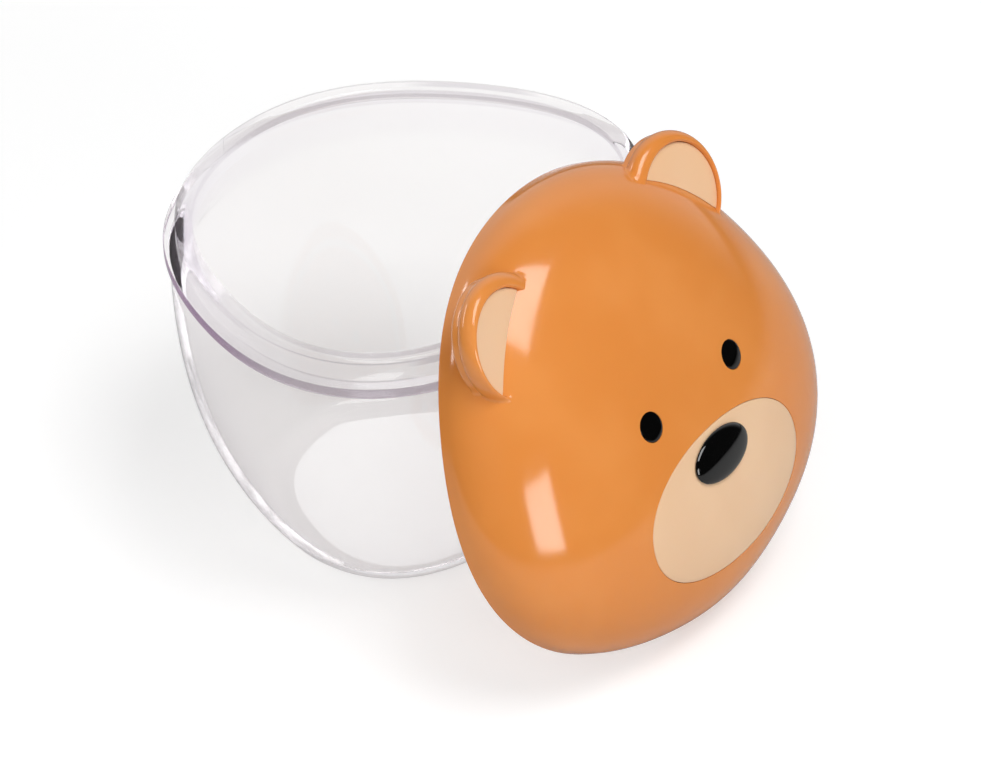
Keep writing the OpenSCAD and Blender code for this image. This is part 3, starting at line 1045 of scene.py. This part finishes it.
@dataclass
class Lid:
    """The leaning lid: an orange shell with two ears, and the pieces pressed into it.

    Attributes:
        dome: The lid's domed face.
        finishes: The container's materials.
        lean: Angle in degrees that the lid has turned from its closed position.
        wall: Thickness of the shell.
        rim_round: Rounding of the skirt's edge.
        tab: How far the lift tab at the chin stands out.
        tab_foot: Share of that reach at the skirt's edge.
        tab_height: Height of the lift tab.
        tab_half_angle: Half the angle that it spans, in degrees.
        tab_power: Power of its curve round the chin.
        seal_low: Height of the seal ring's foot.
        bead: How far the bead under the seal ring stands in.
        bead_height: Height of that bead.
        bead_curve: Shares of its height and of its reach, from its foot to its top.
        fit: Gap between pieces that are pressed into each other.
        count: Points round a ring.
        rings: Rings up the dome's outside and inside.
        place: The placing of the leaning lid, in metres.
    """

    dome: Dome
    finishes: Finishes
    lean: float = 61.2
    wall: float = 1.5
    rim_round: float = 0.4
    tab: float = 0.6
    tab_foot: float = 0.6
    tab_height: float = 2.2
    tab_half_angle: float = 20.0
    tab_power: float = 0.6
    seal_low: float = 5.3
    bead: float = 0.6
    bead_height: float = 0.9
    bead_curve: tuple = ((0.0, 0.0), (0.3, 0.8), (0.5, 1.0), (0.7, 0.8), (1.0, 0.0))
    fit: float = 0.1
    count: int = 288
    rings: tuple[int, int] = (78, 66)
    place: Matrix = field(init=False)

    def __post_init__(self) -> None:
        """Works out where the lid leans, from the box of its shell in the frame."""
        low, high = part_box("lid_shell")
        turn = Matrix.Rotation(math.radians(self.lean), 4, "X")
        outline = self.dome.outline
        crown = turn @ Vector((0, outline.radius(0.0) * MM, 0))
        chin = turn @ Vector((0, -(outline.radius(math.pi) + self.tab * self.tab_foot) * MM, 0))
        self.place = Matrix.Translation((0, high.y - crown.y, low.z - chin.z)) @ turn

    def tab_reach(self, a: float) -> float:
        """Returns how far the lift tab stands out at an angle from the crown."""
        off = abs(math.degrees(a) - 180) / self.tab_half_angle
        return self.tab * math.cos(QUARTER * off) ** self.tab_power if off < 1 else 0.0

    def outer_solid(self) -> bpy.types.Object:
        """Returns the solid that the shell is cut from."""
        edge, tall = self.rim_round, 0.6
        rows = [(1.0, x, z, self.tab_foot + (1 - self.tab_foot) * z / edge)
                for x, z in arc((edge, edge), (-edge, -edge), 90, 0, 5)]
        rows += [(1.0, 0.0, self.tab_height * t, 1.0) for t in (tall / 2, tall)]
        rows += [(1.0, 0.0, self.tab_height * (tall + (1 - tall) * t), math.cos(QUARTER * t))
                 for t in (0.4, 0.75, 1.0)]
        rows += [(*row, 0.0) for row in self.dome.rows(0.0, self.rings[0])]
        skin = None
        for k, inset, z, share in rows:
            ring = self.dome.outline.ring(k, inset, z, self.count,
                                          lambda a, share=share: share * self.tab_reach(a))
            if skin is None:
                skin = Skin(ring)
            else:
                skin.ring(ring)
        skin.pole(Vector((0, 0, (self.dome.skirt + self.dome.rise) * MM)))
        skin.first_pole(Vector((0, 0, 0)))
        return to_object("lid_shell_dressed", skin.finish())

    def hollow(self) -> bpy.types.Object:
        """Returns the solid that is cut out of the shell, with the seal ring's bead left in."""
        top = self.seal_low - self.fit
        low = top - self.bead_height
        edge, under = 0.3, -1.0
        rows = [(1.0, self.wall - edge, under), (1.0, self.wall - edge, 0.0)]
        rows += [(1.0, x, z) for x, z in arc((self.wall - edge, edge), (edge, -edge), 90, 0, 4)][1:]
        dome = self.dome.rows(self.wall, self.rings[1])
        base = self.wall_in(low)
        rows += [row for row in dome if row[2] < low]
        rows += [(1.0, base + self.bead * inset, low + self.bead_height * share)
                 for share, inset in self.bead_curve]
        rows += [row for row in dome if row[2] > top]
        skin = Skin(self.dome.outline.ring(*rows[0], self.count))
        for row in rows[1:]:
            skin.ring(self.dome.outline.ring(*row, self.count))
        skin.pole(Vector((0, 0, (self.dome.skirt + self.dome.rise - self.wall) * MM)))
        skin.first_pole(Vector((0, 0, under * MM)))
        return to_object("hollow", skin.finish())

    def wall_in(self, z: float) -> float:
        """Returns how far the shell's inside lies in from the outline at a height."""
        share = max(z - self.dome.skirt, 0.0) / self.dome.rise
        outline = self.dome.outline
        return self.wall + (outline.mean + outline.cheek) * (1 - self.dome.scale(share))

    def put(self, mesh: bmesh.types.BMesh) -> bmesh.types.BMesh:
        """Moves a mesh from the lid's own axes to where the lid leans."""
        bmesh.ops.transform(mesh, matrix=self.place, verts=mesh.verts)
        return mesh

    def lean_object(self, shape: bpy.types.Object) -> bpy.types.Object:
        """Moves an object's mesh from the lid's own axes to where the lid leans."""
        shape.data.transform(self.place)
        return shape


@dataclass
class Ears:
    """The two round ears: rims that grow out of the dome, and the plates set in them.

    Attributes:
        lid: The lid that they belong to.
        angle: Angle of an ear's middle from the crown, in degrees.
        inset: Distance of an ear's middle in from the outline.
        face: Height of a panel's face above the skirt's edge.
        radius: Outer radius of an ear.
        rim: Width of the rim round the panel.
        lip: How far the rim stands in front of the panel.
        depth: Depth behind the panel's face.
        rounding: Rounding of the ear's back edge.
        stem: Radius of the ear behind its rim.
        tube: Half the width and half the height of the rim's round outside.
        brow: Width and height of the rim's inner rounding.
        fillet: Rounding where the rim grows out of the dome.
        swell: Share of the tube's half width over which that rounding sets in.
        shift: How far the panel's middle lies off the ear's, away from the crown.
        raised: How far the panel stands in front of the ear's middle height.
        tilt: Angle in degrees at which an ear leans in towards the face.
        panel: Thickness of a panel.
        panel_soft: Rounding of a panel's edge.
        panel_gap: Gap between a panel and the dome.
        panel_middle: Distance of a panel's middle from the ear's, as a share of its radius.
        panel_count: Points round a panel.
    """

    lid: Lid
    angle: float = 40.7
    inset: float = 6.5
    face: float = 12.7
    radius: float = 12.9
    rim: float = 2.1
    lip: float = 1.0
    depth: float = 5.2
    rounding: float = 1.1
    stem: float = 12.3
    tube: tuple[float, float] = (1.7, 2.3)
    brow: tuple[float, float] = (0.4, 0.7)
    fillet: float = 0.45
    swell: float = 0.6
    shift: float = 1.1
    raised: float = 0.2
    tilt: float = 4.0
    panel: float = 1.2
    panel_soft: float = 0.18
    panel_gap: float = 0.04
    panel_middle: float = 0.6
    panel_count: int = 200

    def seat(self, side: int) -> Matrix:
        """Returns the placing of an ear on the lid.

        Args:
            side: -1 for left and 1 for right.

        Returns:
            The placing, in metres.
        """
        outline = self.lid.dome.outline
        a = math.radians(self.angle)
        reach = outline.radius(a) - self.inset
        middle = Vector((side * reach * math.sin(a), reach * math.cos(a), self.face)) * MM
        away = math.radians(90 - side * self.angle)
        return (Matrix.Translation(middle) @ Matrix.Rotation(away, 4, "Z")
                @ Matrix.Rotation(-math.radians(self.tilt), 4, "Y"))

    def blank(self, side: int) -> bpy.types.Object:
        """Makes one ear's solid, with a flared foot that meets the dome in a fillet.

        Args:
            side: -1 for left and 1 for right.

        Returns:
            The solid, in place on the lid.
        """
        r = self.rounding
        well = self.radius - self.rim
        crest = self.radius - self.tube[0]
        waist = self.lip - self.tube[1]
        floor = self.raised - self.panel - self.lid.fit
        tuck = -math.degrees(math.acos((self.stem - crest) / self.tube[0]))
        profile = [(0.0, -self.depth), (self.stem * 0.5, -self.depth)]
        profile += arc((self.stem - r, -self.depth + r), (r, r), -90, 0, 8)
        profile += arc((crest, waist), self.tube, tuck, 90, 34)
        profile += arc((crest, self.lip - self.brow[1]), (-self.brow[0], self.brow[1]), 90, 0, 9)[1:]
        profile += [(well, floor), (0.0, floor)]
        mesh = spin_profile(profile, 160)
        self.push_aside(mesh, side)
        self.flare(mesh, self.seat(side), crest)
        return to_object("ear", mesh)

    def push_aside(self, mesh: bmesh.types.BMesh, side: int) -> None:
        """Moves the pocket off the ear's middle, and leaves the ear's outside where it is.

        Args:
            mesh: The ear's solid, about its own axis.
            side: -1 for left and 1 for right.
        """
        for vertex in mesh.verts:
            radial = math.hypot(vertex.co.x, vertex.co.y) / MM
            share = max(min((self.radius - radial) / self.rim, 1.0), 0.0)
            if vertex.co.z / MM > self.raised - self.panel - 2 * self.lid.fit:
                vertex.co.y -= side * self.shift * share * MM

    def flare(self, mesh: bmesh.types.BMesh, seat: Matrix, crest: float) -> None:
        """Puts an ear in place and spreads its foot onto the dome.

        A place near the dome moves along the fillet's round, and from there along the dome.

        Args:
            mesh: The ear's solid, about its own axis.
            seat: Its placing on the lid.
            crest: Radius of the rim's crest, inside which nothing is spread.
        """
        mesh.normal_update()
        dome, r = self.lid.dome, self.fillet
        turn = seat.to_3x3()
        for vertex in mesh.verts:
            radial = math.hypot(vertex.co.x, vertex.co.y) / MM
            out = (turn @ vertex.normal).normalized()
            vertex.co = seat @ vertex.co
            p = vertex.co / MM
            off = dome.level(*p)
            share = min((radial - crest) / (self.swell * self.tube[0]), 1.0)
            up = dome.away(*p)
            along = out - up * out.dot(up)
            if share <= 0 or not -3 * r <= off < r or along.length < 0.2:
                continue
            path = r - off
            turned = min(path / r, QUARTER)
            side_step = r * (1 - math.cos(turned))
            new_off = r * (1 - math.sin(turned)) - max(path - r * QUARTER, 0.0)
            p = p + (up * (new_off - off) + along.normalized() * side_step) * share
            vertex.co = p * MM

    def panel_ring(self, side: int, depth: float, inset: float) -> list[Vector]:
        """Returns a ring round an ear's panel: a round that the dome cuts off.

        Args:
            side: -1 for left and 1 for right.
            depth: Depth behind the panel's face.
            inset: How far the ring is drawn in.

        Returns:
            The ring's points, in metres.
        """
        seat = self.seat(side)
        dome, count, halvings = self.lid.dome, self.panel_count, 22
        limit = self.radius - self.rim - self.lid.fit - inset
        least = self.panel_gap + 0.3 * inset
        aside = Vector((0.0, -side * self.shift, 0.0))
        start = Vector((self.panel_middle * limit, 0.0, self.raised - depth)) + aside
        points = []
        for i in range(count):
            a = math.tau * i / count
            way = Vector((math.cos(a), math.sin(a), 0.0))
            low, high = 0.0, 2 * limit
            for _ in range(halvings):
                mid = (low + high) / 2
                spot = start + way * mid
                held = seat @ (spot * MM) / MM
                off = (spot - aside).xy.length
                if off > limit or dome.level(*held) < least:
                    high = mid
                else:
                    low = mid
            points.append(seat @ ((start + way * low) * MM))
        return points

    def build_panel(self, side: int, name: str, node: str) -> bpy.types.Object:
        """Builds and dresses one ear's panel.

        Args:
            side: -1 for left and 1 for right.
            name: The piece's name.
            node: The CAD node that it replaces.

        Returns:
            The finished panel.
        """
        soft = self.panel_soft
        skin = Skin(self.panel_ring(side, self.panel, 0.0))
        skin.ring(self.panel_ring(side, soft, 0.0))
        skin.ring(self.panel_ring(side, soft * 0.3, soft * 0.3))
        edge = self.panel_ring(side, 0.0, soft)
        skin.ring(edge)
        seat = self.seat(side)
        middle = Vector((self.panel_middle * (self.radius - self.rim), -side * self.shift,
                         self.raised))
        centre = seat @ (middle * MM)
        for share in (0.7, 0.35):
            skin.ring([centre + (point - centre) * share for point in edge])
        skin.pole(centre)
        skin.first_pole(seat @ ((middle - Vector((0.0, 0.0, self.panel))) * MM))
        piece = to_object(name, self.lid.put(skin.finish()))
        return finish_piece(piece, self.lid.finishes.ear_panel, "lid", "ear_panel_plastic", node)


@dataclass
class Face:
    """The pieces of the bear's face: muzzle, nose and eyes.

    Attributes:
        lid: The lid that they are pressed into.
        eye_x: Distance of an eye from the centre line.
        eye_y: Height of the eyes on the face.
        eye: Radius of an eye.
        eye_round: Insets from that radius and heights of the rounding of an eye's face.
        eye_face: Shares of that radius and heights of the face inside the rounding.
        eye_stop: Radius of the flange behind an eye.
        stop_round: Rounding of that flange's edge.
        muzzle: Half the width and half the height of the muzzle.
        muzzle_y: Height of the muzzle's middle on the face.
        muzzle_power: Power of the muzzle's oval.
        inlay: Thickness of the muzzle.
        muzzle_soft: Rounding of the muzzle's front edge.
        nose: Half the width and half the height of the nose.
        nose_out: How far the nose stands out.
        nose_turns: Angles in degrees of the rings up the nose's rounding.
        nose_y: Height of the nose on the face.
        peg: Radius of the nose's peg.
        peg_round: Rounding of its end.
        peg_past: How far pegs reach past the wall, inside the lid.
        stop_gap: How far the flange behind an eye lies off the wall.
    """

    lid: Lid
    eye_x: float = 14.4
    eye_y: float = 4.3
    eye: float = 3.0
    eye_round: tuple = ((0.0, -0.15), (0.04, -0.06), (0.15, -0.01), (0.4, 0.03))
    eye_face: tuple = ((0.6, 0.1), (0.3, 0.13), (0.0, 0.15))
    eye_stop: float = 4.0
    stop_round: float = 0.25
    muzzle: tuple[float, float] = (25.5, 14.4)
    muzzle_y: float = -18.3
    muzzle_power: float = 2.12
    inlay: float = 0.8
    muzzle_soft: float = 0.12
    nose: tuple[float, float] = (8.95, 4.9)
    nose_out: float = 1.6
    nose_turns: tuple = (5, 11, 18, 26, 34, 42, 50, 58, 65, 72, 78, 84)
    nose_y: float = -10.1
    peg: float = 2.2
    peg_round: float = 0.3
    peg_past: float = 1.0
    stop_gap: float = 0.4

    def muzzle_ring(self, share: float, inset: float, depth: float, count: int) -> list[Vector]:
        """Returns a ring of the muzzle's oval.

        Args:
            share: Share of the oval's size.
            inset: How far the oval is drawn in before that.
            depth: Depth of the ring under the dome's skin.
            count: Number of points.

        Returns:
            The ring's points, in metres.
        """
        dome = self.lid.dome
        power = 2 / self.muzzle_power
        points = []
        for i in range(count):
            a = math.tau * i / count
            s, c = math.sin(a), math.cos(a)
            x = share * (self.muzzle[0] - inset) * math.copysign(abs(s) ** power, s)
            y = self.muzzle_y + share * (self.muzzle[1] - inset) * math.copysign(abs(c) ** power, c)
            flat = Vector((x, y, dome.height(x, y)))
            points.append((flat - dome.normal(x, y) * depth) * MM)
        return points

    def muzzle_skin(self, inset: float, high: float, depth: float, soft: float) -> bmesh.types.BMesh:
        """Returns an oval plate that follows the dome.

        Args:
            inset: How far the oval is drawn in.
            high: Height of the plate's face over the dome's skin.
            depth: Depth of its back under the skin.
            soft: Rounding of its front edge.

        Returns:
            The plate's mesh.
        """
        count, steps = 200, 16
        shares = [(i / steps) ** 0.85 for i in range(1, steps + 1)]
        skin = Skin(self.muzzle_ring(shares[0], inset, depth, count))
        for share in shares[1:]:
            skin.ring(self.muzzle_ring(share, inset, depth, count))
        if soft:
            skin.ring(self.muzzle_ring(1.0, inset, soft - high, count))
            skin.ring(self.muzzle_ring(1.0, inset + 0.3 * soft, 0.3 * soft - high, count))
        skin.ring(self.muzzle_ring(1.0, inset + soft, -high, count))
        for share in reversed(shares[:-1]):
            skin.ring(self.muzzle_ring(share, inset, -high, count))
        dome = self.lid.dome
        middle = Vector((0, self.muzzle_y, dome.height(0, self.muzzle_y)))
        n = dome.normal(0, self.muzzle_y)
        skin.pole((middle + n * high) * MM)
        skin.first_pole((middle - n * depth) * MM)
        return skin.finish()

    def peg_hole(self, x: float, y: float, radius: float) -> bpy.types.Object:
        """Makes a round cutter that goes right through the shell.

        Args:
            x: Place across the face.
            y: Place towards the crown.
            radius: The cutter's radius.

        Returns:
            The cutter.
        """
        reach = 4 * self.lid.wall
        mesh = spin_profile([(0.0, -reach), (radius, -reach), (radius, reach), (0.0, reach)], 96)
        bmesh.ops.transform(mesh, matrix=self.lid.dome.seat(x, y), verts=mesh.verts)
        return to_object("hole", mesh)

    def build_muzzle(self) -> bpy.types.Object:
        """Builds and dresses the muzzle."""
        plate = self.muzzle_skin(self.lid.fit, 0.0, self.inlay, self.muzzle_soft)
        piece = to_object("muzzle_inlay", plate)
        combine(piece, self.peg_hole(0.0, self.nose_y, self.peg + self.lid.fit), Join.CUT)
        smooth_faces(self.lid.lean_object(piece))
        return finish_piece(piece, self.lid.finishes.muzzle, "lid", "muzzle_plastic", "muzzle")

    def nose_ring(self, scale: float, height: float) -> list[Vector]:
        """Returns one oval ring of the nose.

        Args:
            scale: Share of the nose's size.
            height: Height of the ring over the dome.

        Returns:
            The ring's points, in metres.
        """
        count = 144
        wide, tall = (half * scale for half in self.nose)
        turns = [math.tau * i / count for i in range(count)]
        return [Vector((wide * math.sin(a), tall * math.cos(a), height)) * MM for a in turns]

    def build_nose(self) -> bpy.types.Object:
        """Builds and dresses the nose: a low oval dome with a blunt edge, and its peg."""
        gap = self.lid.fit
        skin = Skin(self.nose_ring(0.6, gap))
        skin.ring(self.nose_ring(0.97, gap))
        for turn in map(math.radians, self.nose_turns):
            skin.ring(self.nose_ring(math.cos(turn), gap + self.nose_out * math.sin(turn)))
        skin.pole(Vector((0, 0, (gap + self.nose_out) * MM)))
        skin.first_pole(Vector((0, 0, gap * MM)))
        mesh = skin.finish()
        end, soft = self.lid.wall + self.peg_past, self.peg_round
        peg = spin_profile([(0.0, -end), (self.peg - soft, -end), (self.peg, soft - end),
                            (self.peg, gap + soft), (0.0, gap + soft)], 64)
        seat = self.lid.dome.seat(0.0, self.nose_y) @ Matrix.Rotation(QUARTER, 4, "Z")
        for part in (mesh, peg):
            bmesh.ops.transform(part, matrix=seat, verts=part.verts)
        piece = to_object("nose_button", mesh)
        combine(piece, to_object("peg", peg), Join.ADD)
        smooth_faces(self.lid.lean_object(piece))
        return finish_piece(piece, self.lid.finishes.black, "lid", "black_plastic", "nose")

    def build_eye(self, side: int, name: str, node: str) -> bpy.types.Object:
        """Builds and dresses one eye: a flush button with a stop flange inside the lid.

        Args:
            side: -1 for left and 1 for right.
            name: The piece's name.
            node: The CAD node that it replaces.

        Returns:
            The finished eye.
        """
        back = -self.lid.wall - self.peg_past
        stop = -self.lid.wall - self.stop_gap
        soft = self.stop_round
        profile = [(0.0, back), (self.eye_stop - soft, back), (self.eye_stop, back + soft),
                   (self.eye_stop, stop), (self.eye, stop)]
        profile += [(self.eye - inset, z) for inset, z in self.eye_round]
        profile += [(self.eye * share, z) for share, z in self.eye_face]
        mesh = spin_profile(profile, 96)
        seat = self.lid.dome.seat(side * self.eye_x, self.eye_y)
        bmesh.ops.transform(mesh, matrix=seat, verts=mesh.verts)
        piece = to_object(name, self.lid.put(mesh))
        return finish_piece(piece, self.lid.finishes.black, "lid", "black_plastic", node)


def build_shell(lid: Lid, ears: Ears, face: Face) -> bpy.types.Object:
    """Builds and dresses the lid's shell: the dome with its ears, hollowed and cut for the face.

    Args:
        lid: The lid's own sizes.
        ears: The ears that grow out of it.
        face: The face, whose pieces need holes.

    Returns:
        The finished shell.
    """
    shell = lid.outer_solid()
    for side in (-1, 1):
        combine(shell, ears.blank(side), Join.ADD)
    combine(shell, lid.hollow(), Join.CUT)
    recess = to_object("recess", face.muzzle_skin(0.0, 1.0, face.inlay + lid.fit, 0.0))
    combine(shell, recess, Join.CUT)
    for side in (-1, 1):
        combine(shell, face.peg_hole(side * face.eye_x, face.eye_y, face.eye + lid.fit), Join.CUT)
    combine(shell, face.peg_hole(0.0, face.nose_y, face.peg + lid.fit), Join.CUT)
    smooth_faces(lid.lean_object(shell))
    return finish_piece(shell, lid.finishes.orange, "lid", "orange_plastic", "lid_shell")


@dataclass
class SealRing:
    """The soft ring in the lid that presses on the jar's lip.

    Attributes:
        lid: The lid that holds it.
        width: Width of the ring.
        height: Height of the ring.
        rounding: Rounding of its edges.
    """

    lid: Lid
    width: float = 2.5
    height: float = 1.9
    rounding: float = 0.35

    def build(self) -> bpy.types.Object:
        """Builds and dresses the seal ring."""
        lid, r = self.lid, self.rounding
        low = lid.seal_low
        top = low + self.height
        outer_low, outer_top = lid.wall_in(low) + lid.fit, lid.wall_in(top) + 2 * lid.fit
        inner = lid.wall_in(low) + self.width
        rows = arc((outer_low + r, low + r), (-r, -r), 0, 90, 4)
        rows += arc((inner - r, low + r), (r, -r), 90, 0, 4)
        rows += arc((inner - r, top - r), (r, r), 0, 90, 4)
        rows += arc((outer_top + r, top - r), (-r, r), 90, 0, 4)
        outline = lid.dome.outline
        skin = Skin(outline.ring(1.0, rows[0][0], rows[0][1], lid.count))
        for inset, z in rows[1:]:
            skin.ring(outline.ring(1.0, inset, z, lid.count))
        skin.join_ends()
        piece = to_object("silicone_seal", lid.put(skin.finish()))
        return finish_piece(piece, lid.finishes.silicone, "lid", "seal_silicone", "seal_ring")


# ---------------------------------------------------------------- studio


def direction(azimuth: float, elevation: float) -> Vector:
    """Returns the direction from the container towards a place in the studio.

    Args:
        azimuth: Compass angle in degrees, 0 in front of the lid and growing towards +X.
        elevation: Angle above the floor, in degrees.

    Returns:
        The direction, 1 long.
    """
    a, e = math.radians(azimuth), math.radians(elevation)
    return Vector((math.sin(a) * math.cos(e), -math.cos(a) * math.cos(e), math.sin(e)))


def stand(name: str, data: bpy.types.ID, middle: Vector, way: Vector,
          roll: float) -> bpy.types.Object:
    """Puts a lamp or a camera in the studio.

    Args:
        name: The object's name.
        data: The lamp or the camera.
        middle: Where it stands, in metres.
        way: Direction from what it faces towards it.
        roll: Turn about its own axis, in degrees.

    Returns:
        The object.
    """
    holder = bpy.data.objects.new(name, data)
    holder.matrix_world = (Matrix.Translation(middle)
                           @ way.to_track_quat("Z", "Y").to_matrix().to_4x4()
                           @ Matrix.Rotation(math.radians(roll), 4, "Z"))
    bpy.context.scene.collection.objects.link(holder)
    return holder


@dataclass(frozen=True)
class Softbox:
    """One studio lamp: a rectangle that faces the container.

    Attributes:
        name: The lamp's name.
        azimuth: Compass angle in degrees, 0 in front of the lid and growing towards +X.
        elevation: Angle above the floor, in degrees.
        distance: Distance from the container, in metres.
        size: Width and height, in metres.
        radiance: Brightness of its face, where 1 is white.
        roll: Turn about its own axis, in degrees.
        mirrored: Whether glossy surfaces show it.
    """

    name: str
    azimuth: float
    elevation: float
    distance: float
    size: tuple[float, float]
    radiance: float
    roll: float = 0.0
    mirrored: bool = True

    def build(self, aim: Vector) -> None:
        """Adds the lamp.

        Args:
            aim: Point that it faces, in metres.
        """
        lamp = bpy.data.lights.new(self.name, "AREA")
        lamp.shape = "RECTANGLE"
        lamp.size, lamp.size_y = self.size
        lamp.energy = self.radiance * math.pi * self.size[0] * self.size[1]
        way = direction(self.azimuth, self.elevation)
        holder = stand(self.name, lamp, aim + way * self.distance, way, self.roll)
        holder.visible_glossy = self.mirrored
        holder.visible_transmission = False


@dataclass
class Studio:
    """A plain white table, soft lamps and the camera.

    Attributes:
        aim: Point that the camera looks at, in mm.
        azimuth: The camera's compass angle, in degrees.
        elevation: The camera's angle above the floor, in degrees.
        distance: The camera's distance, in mm.
        lens: Focal length, in mm.
        sensor: Width of the camera's sensor, in mm.
        roll: Turn about the camera's own axis, in degrees.
        fill: Brightness of the surroundings, where 1 is white.
        dark: Brightness that glossy surfaces show of the room in front.
        backdrop: Brightness that glossy surfaces show of the backdrop behind.
        backdrop_azimuth: Compass angle of the backdrop's middle, in degrees.
        backdrop_edge: Cosines off that middle at which the backdrop starts and is full.
        floor_tone: Colour of the floor.
        floor_glow: What the floor adds to reach white.
        floor_reach: Distances in metres between which the floor fades to the dark room.
        floor_half: Half the floor's width, in metres.
    """

    aim: tuple[float, float, float] = (-6.151, -21.649, 39.04)
    azimuth: float = -54.985
    elevation: float = 37.075
    distance: float = 1101.2
    lens: float = 200.66
    sensor: float = 36.0
    roll: float = -0.451
    fill: float = 0.26
    dark: float = 0.02
    backdrop: float = 0.8
    backdrop_azimuth: float = 135.0
    backdrop_edge: tuple[float, float] = (0.3, 0.7)
    floor_tone: float = 0.6
    floor_glow: float = 0.5
    floor_reach: tuple[float, float] = (0.3, 1.6)
    floor_half: float = 6.0

    def camera(self) -> None:
        """Adds the camera."""
        data = bpy.data.cameras.new("camera")
        data.sensor_width = self.sensor
        data.lens = self.lens
        data.clip_end = 50.0
        way = direction(self.azimuth, self.elevation)
        middle = (Vector(self.aim) + way * self.distance) * MM
        bpy.context.scene.camera = stand("camera", data, middle, way, self.roll)

    def direct(self, graph: Graph) -> Wire:
        """Returns 1 for rays from the camera and for rays that came through clear plastic, else 0.

        Args:
            graph: The nodes that it is worked out in.

        Returns:
            The 1 or 0.
        """
        camera, passed, glossy, depth = (
            graph.node("ShaderNodeLightPath", output=name) for name in
            ("Is Camera Ray", "Is Transmission Ray", "Is Glossy Ray", "Transmission Depth"))
        return (camera + passed + glossy * depth).at_most(1.0)

    def floor(self) -> None:
        """Adds the table's top."""
        mesh = bmesh.new()
        bmesh.ops.create_grid(mesh, x_segments=1, y_segments=1, size=self.floor_half)
        top = to_object("table_top", mesh)
        material = bpy.data.materials.new("white_table")
        material.use_nodes = True
        graph = Graph(material.node_tree)
        away = graph.node("ShaderNodeVectorMath", {"operation": "LENGTH"}, {0: graph.place()},
                          output="Value")
        tone = (1 - away.above(*self.floor_reach)) * self.floor_tone
        paint = graph.node("ShaderNodeBsdfDiffuse", None, {"Color": tone})
        glow = graph.node("ShaderNodeEmission", None,
                          {"Color": WHITE, "Strength": self.direct(graph) * self.floor_glow})
        both = graph.node("ShaderNodeAddShader", None, {0: paint, 1: glow})
        graph.node("ShaderNodeOutputMaterial", None, {"Surface": both})
        top.data.materials.append(material)

    def world(self) -> None:
        """Sets the surroundings: white for the camera, and a dim room with a lit backdrop else."""
        world = bpy.data.worlds.new("studio")
        bpy.context.scene.world = world
        world.use_nodes = True
        graph = Graph(world.node_tree)
        direct = self.direct(graph)
        glossy = graph.node("ShaderNodeLightPath", output="Is Glossy Ray")
        behind = graph.node("ShaderNodeVectorMath", {"operation": "DOT_PRODUCT"},
                            {0: graph.node("ShaderNodeTexCoord", output="Generated"),
                             1: direction(self.backdrop_azimuth, 0.0)}, output="Value")
        mirrored = self.dark + behind.above(*self.backdrop_edge) * (self.backdrop - self.dark)
        soft = glossy * mirrored + (1 - glossy) * self.fill
        strength = direct + (1 - direct) * soft
        light = graph.node("ShaderNodeBackground", None, {"Color": WHITE, "Strength": strength})
        graph.node("ShaderNodeOutputWorld", None, {"Surface": light})

    def build(self) -> None:
        """Builds the whole studio."""
        self.camera()
        self.floor()
        self.world()
        aim = Vector(self.aim) * MM
        boxes = (
            Softbox("front_softbox", azimuth=-20.8, elevation=15.7, distance=1.6,
                    size=(0.58, 0.64), radiance=6.1, roll=-3.0),
            Softbox("high_softbox", azimuth=6.0, elevation=69.0, distance=1.6,
                    size=(0.88, 0.76), radiance=6.0, roll=25.5),
            Softbox("back_strip", azimuth=-162.0, elevation=25.0, distance=1.6,
                    size=(0.9, 0.14), radiance=7.0, roll=-16.5),
            Softbox("left_fill", azimuth=-80.0, elevation=40.0, distance=2.0,
                    size=(1.6, 1.2), radiance=1.75, mirrored=False))
        for box in boxes:
            box.build(aim)
        bpy.context.scene.view_settings.view_transform = "Standard"


def main() -> None:
    """Builds the studio and the container, in order."""
    logging.basicConfig(level=logging.INFO, format="%(name)s: %(message)s")
    Studio().build()
    outline = HeadOutline()
    jar = Jar(outline)
    finishes = Finishes(jar)
    jar.build(finishes)
    lid = Lid(Dome(outline), finishes)
    ears = Ears(lid)
    face = Face(lid)
    build_shell(lid, ears, face)
    SealRing(lid).build()
    face.build_muzzle()
    face.build_nose()
    for side, word in ((-1, "left"), (1, "right")):
        face.build_eye(side, f"{word}_eye_button", f"{word}_eye")
        ears.build_panel(side, f"{word}_ear_plate", f"{word}_ear_panel")


if __name__ == "__main__":
    main()
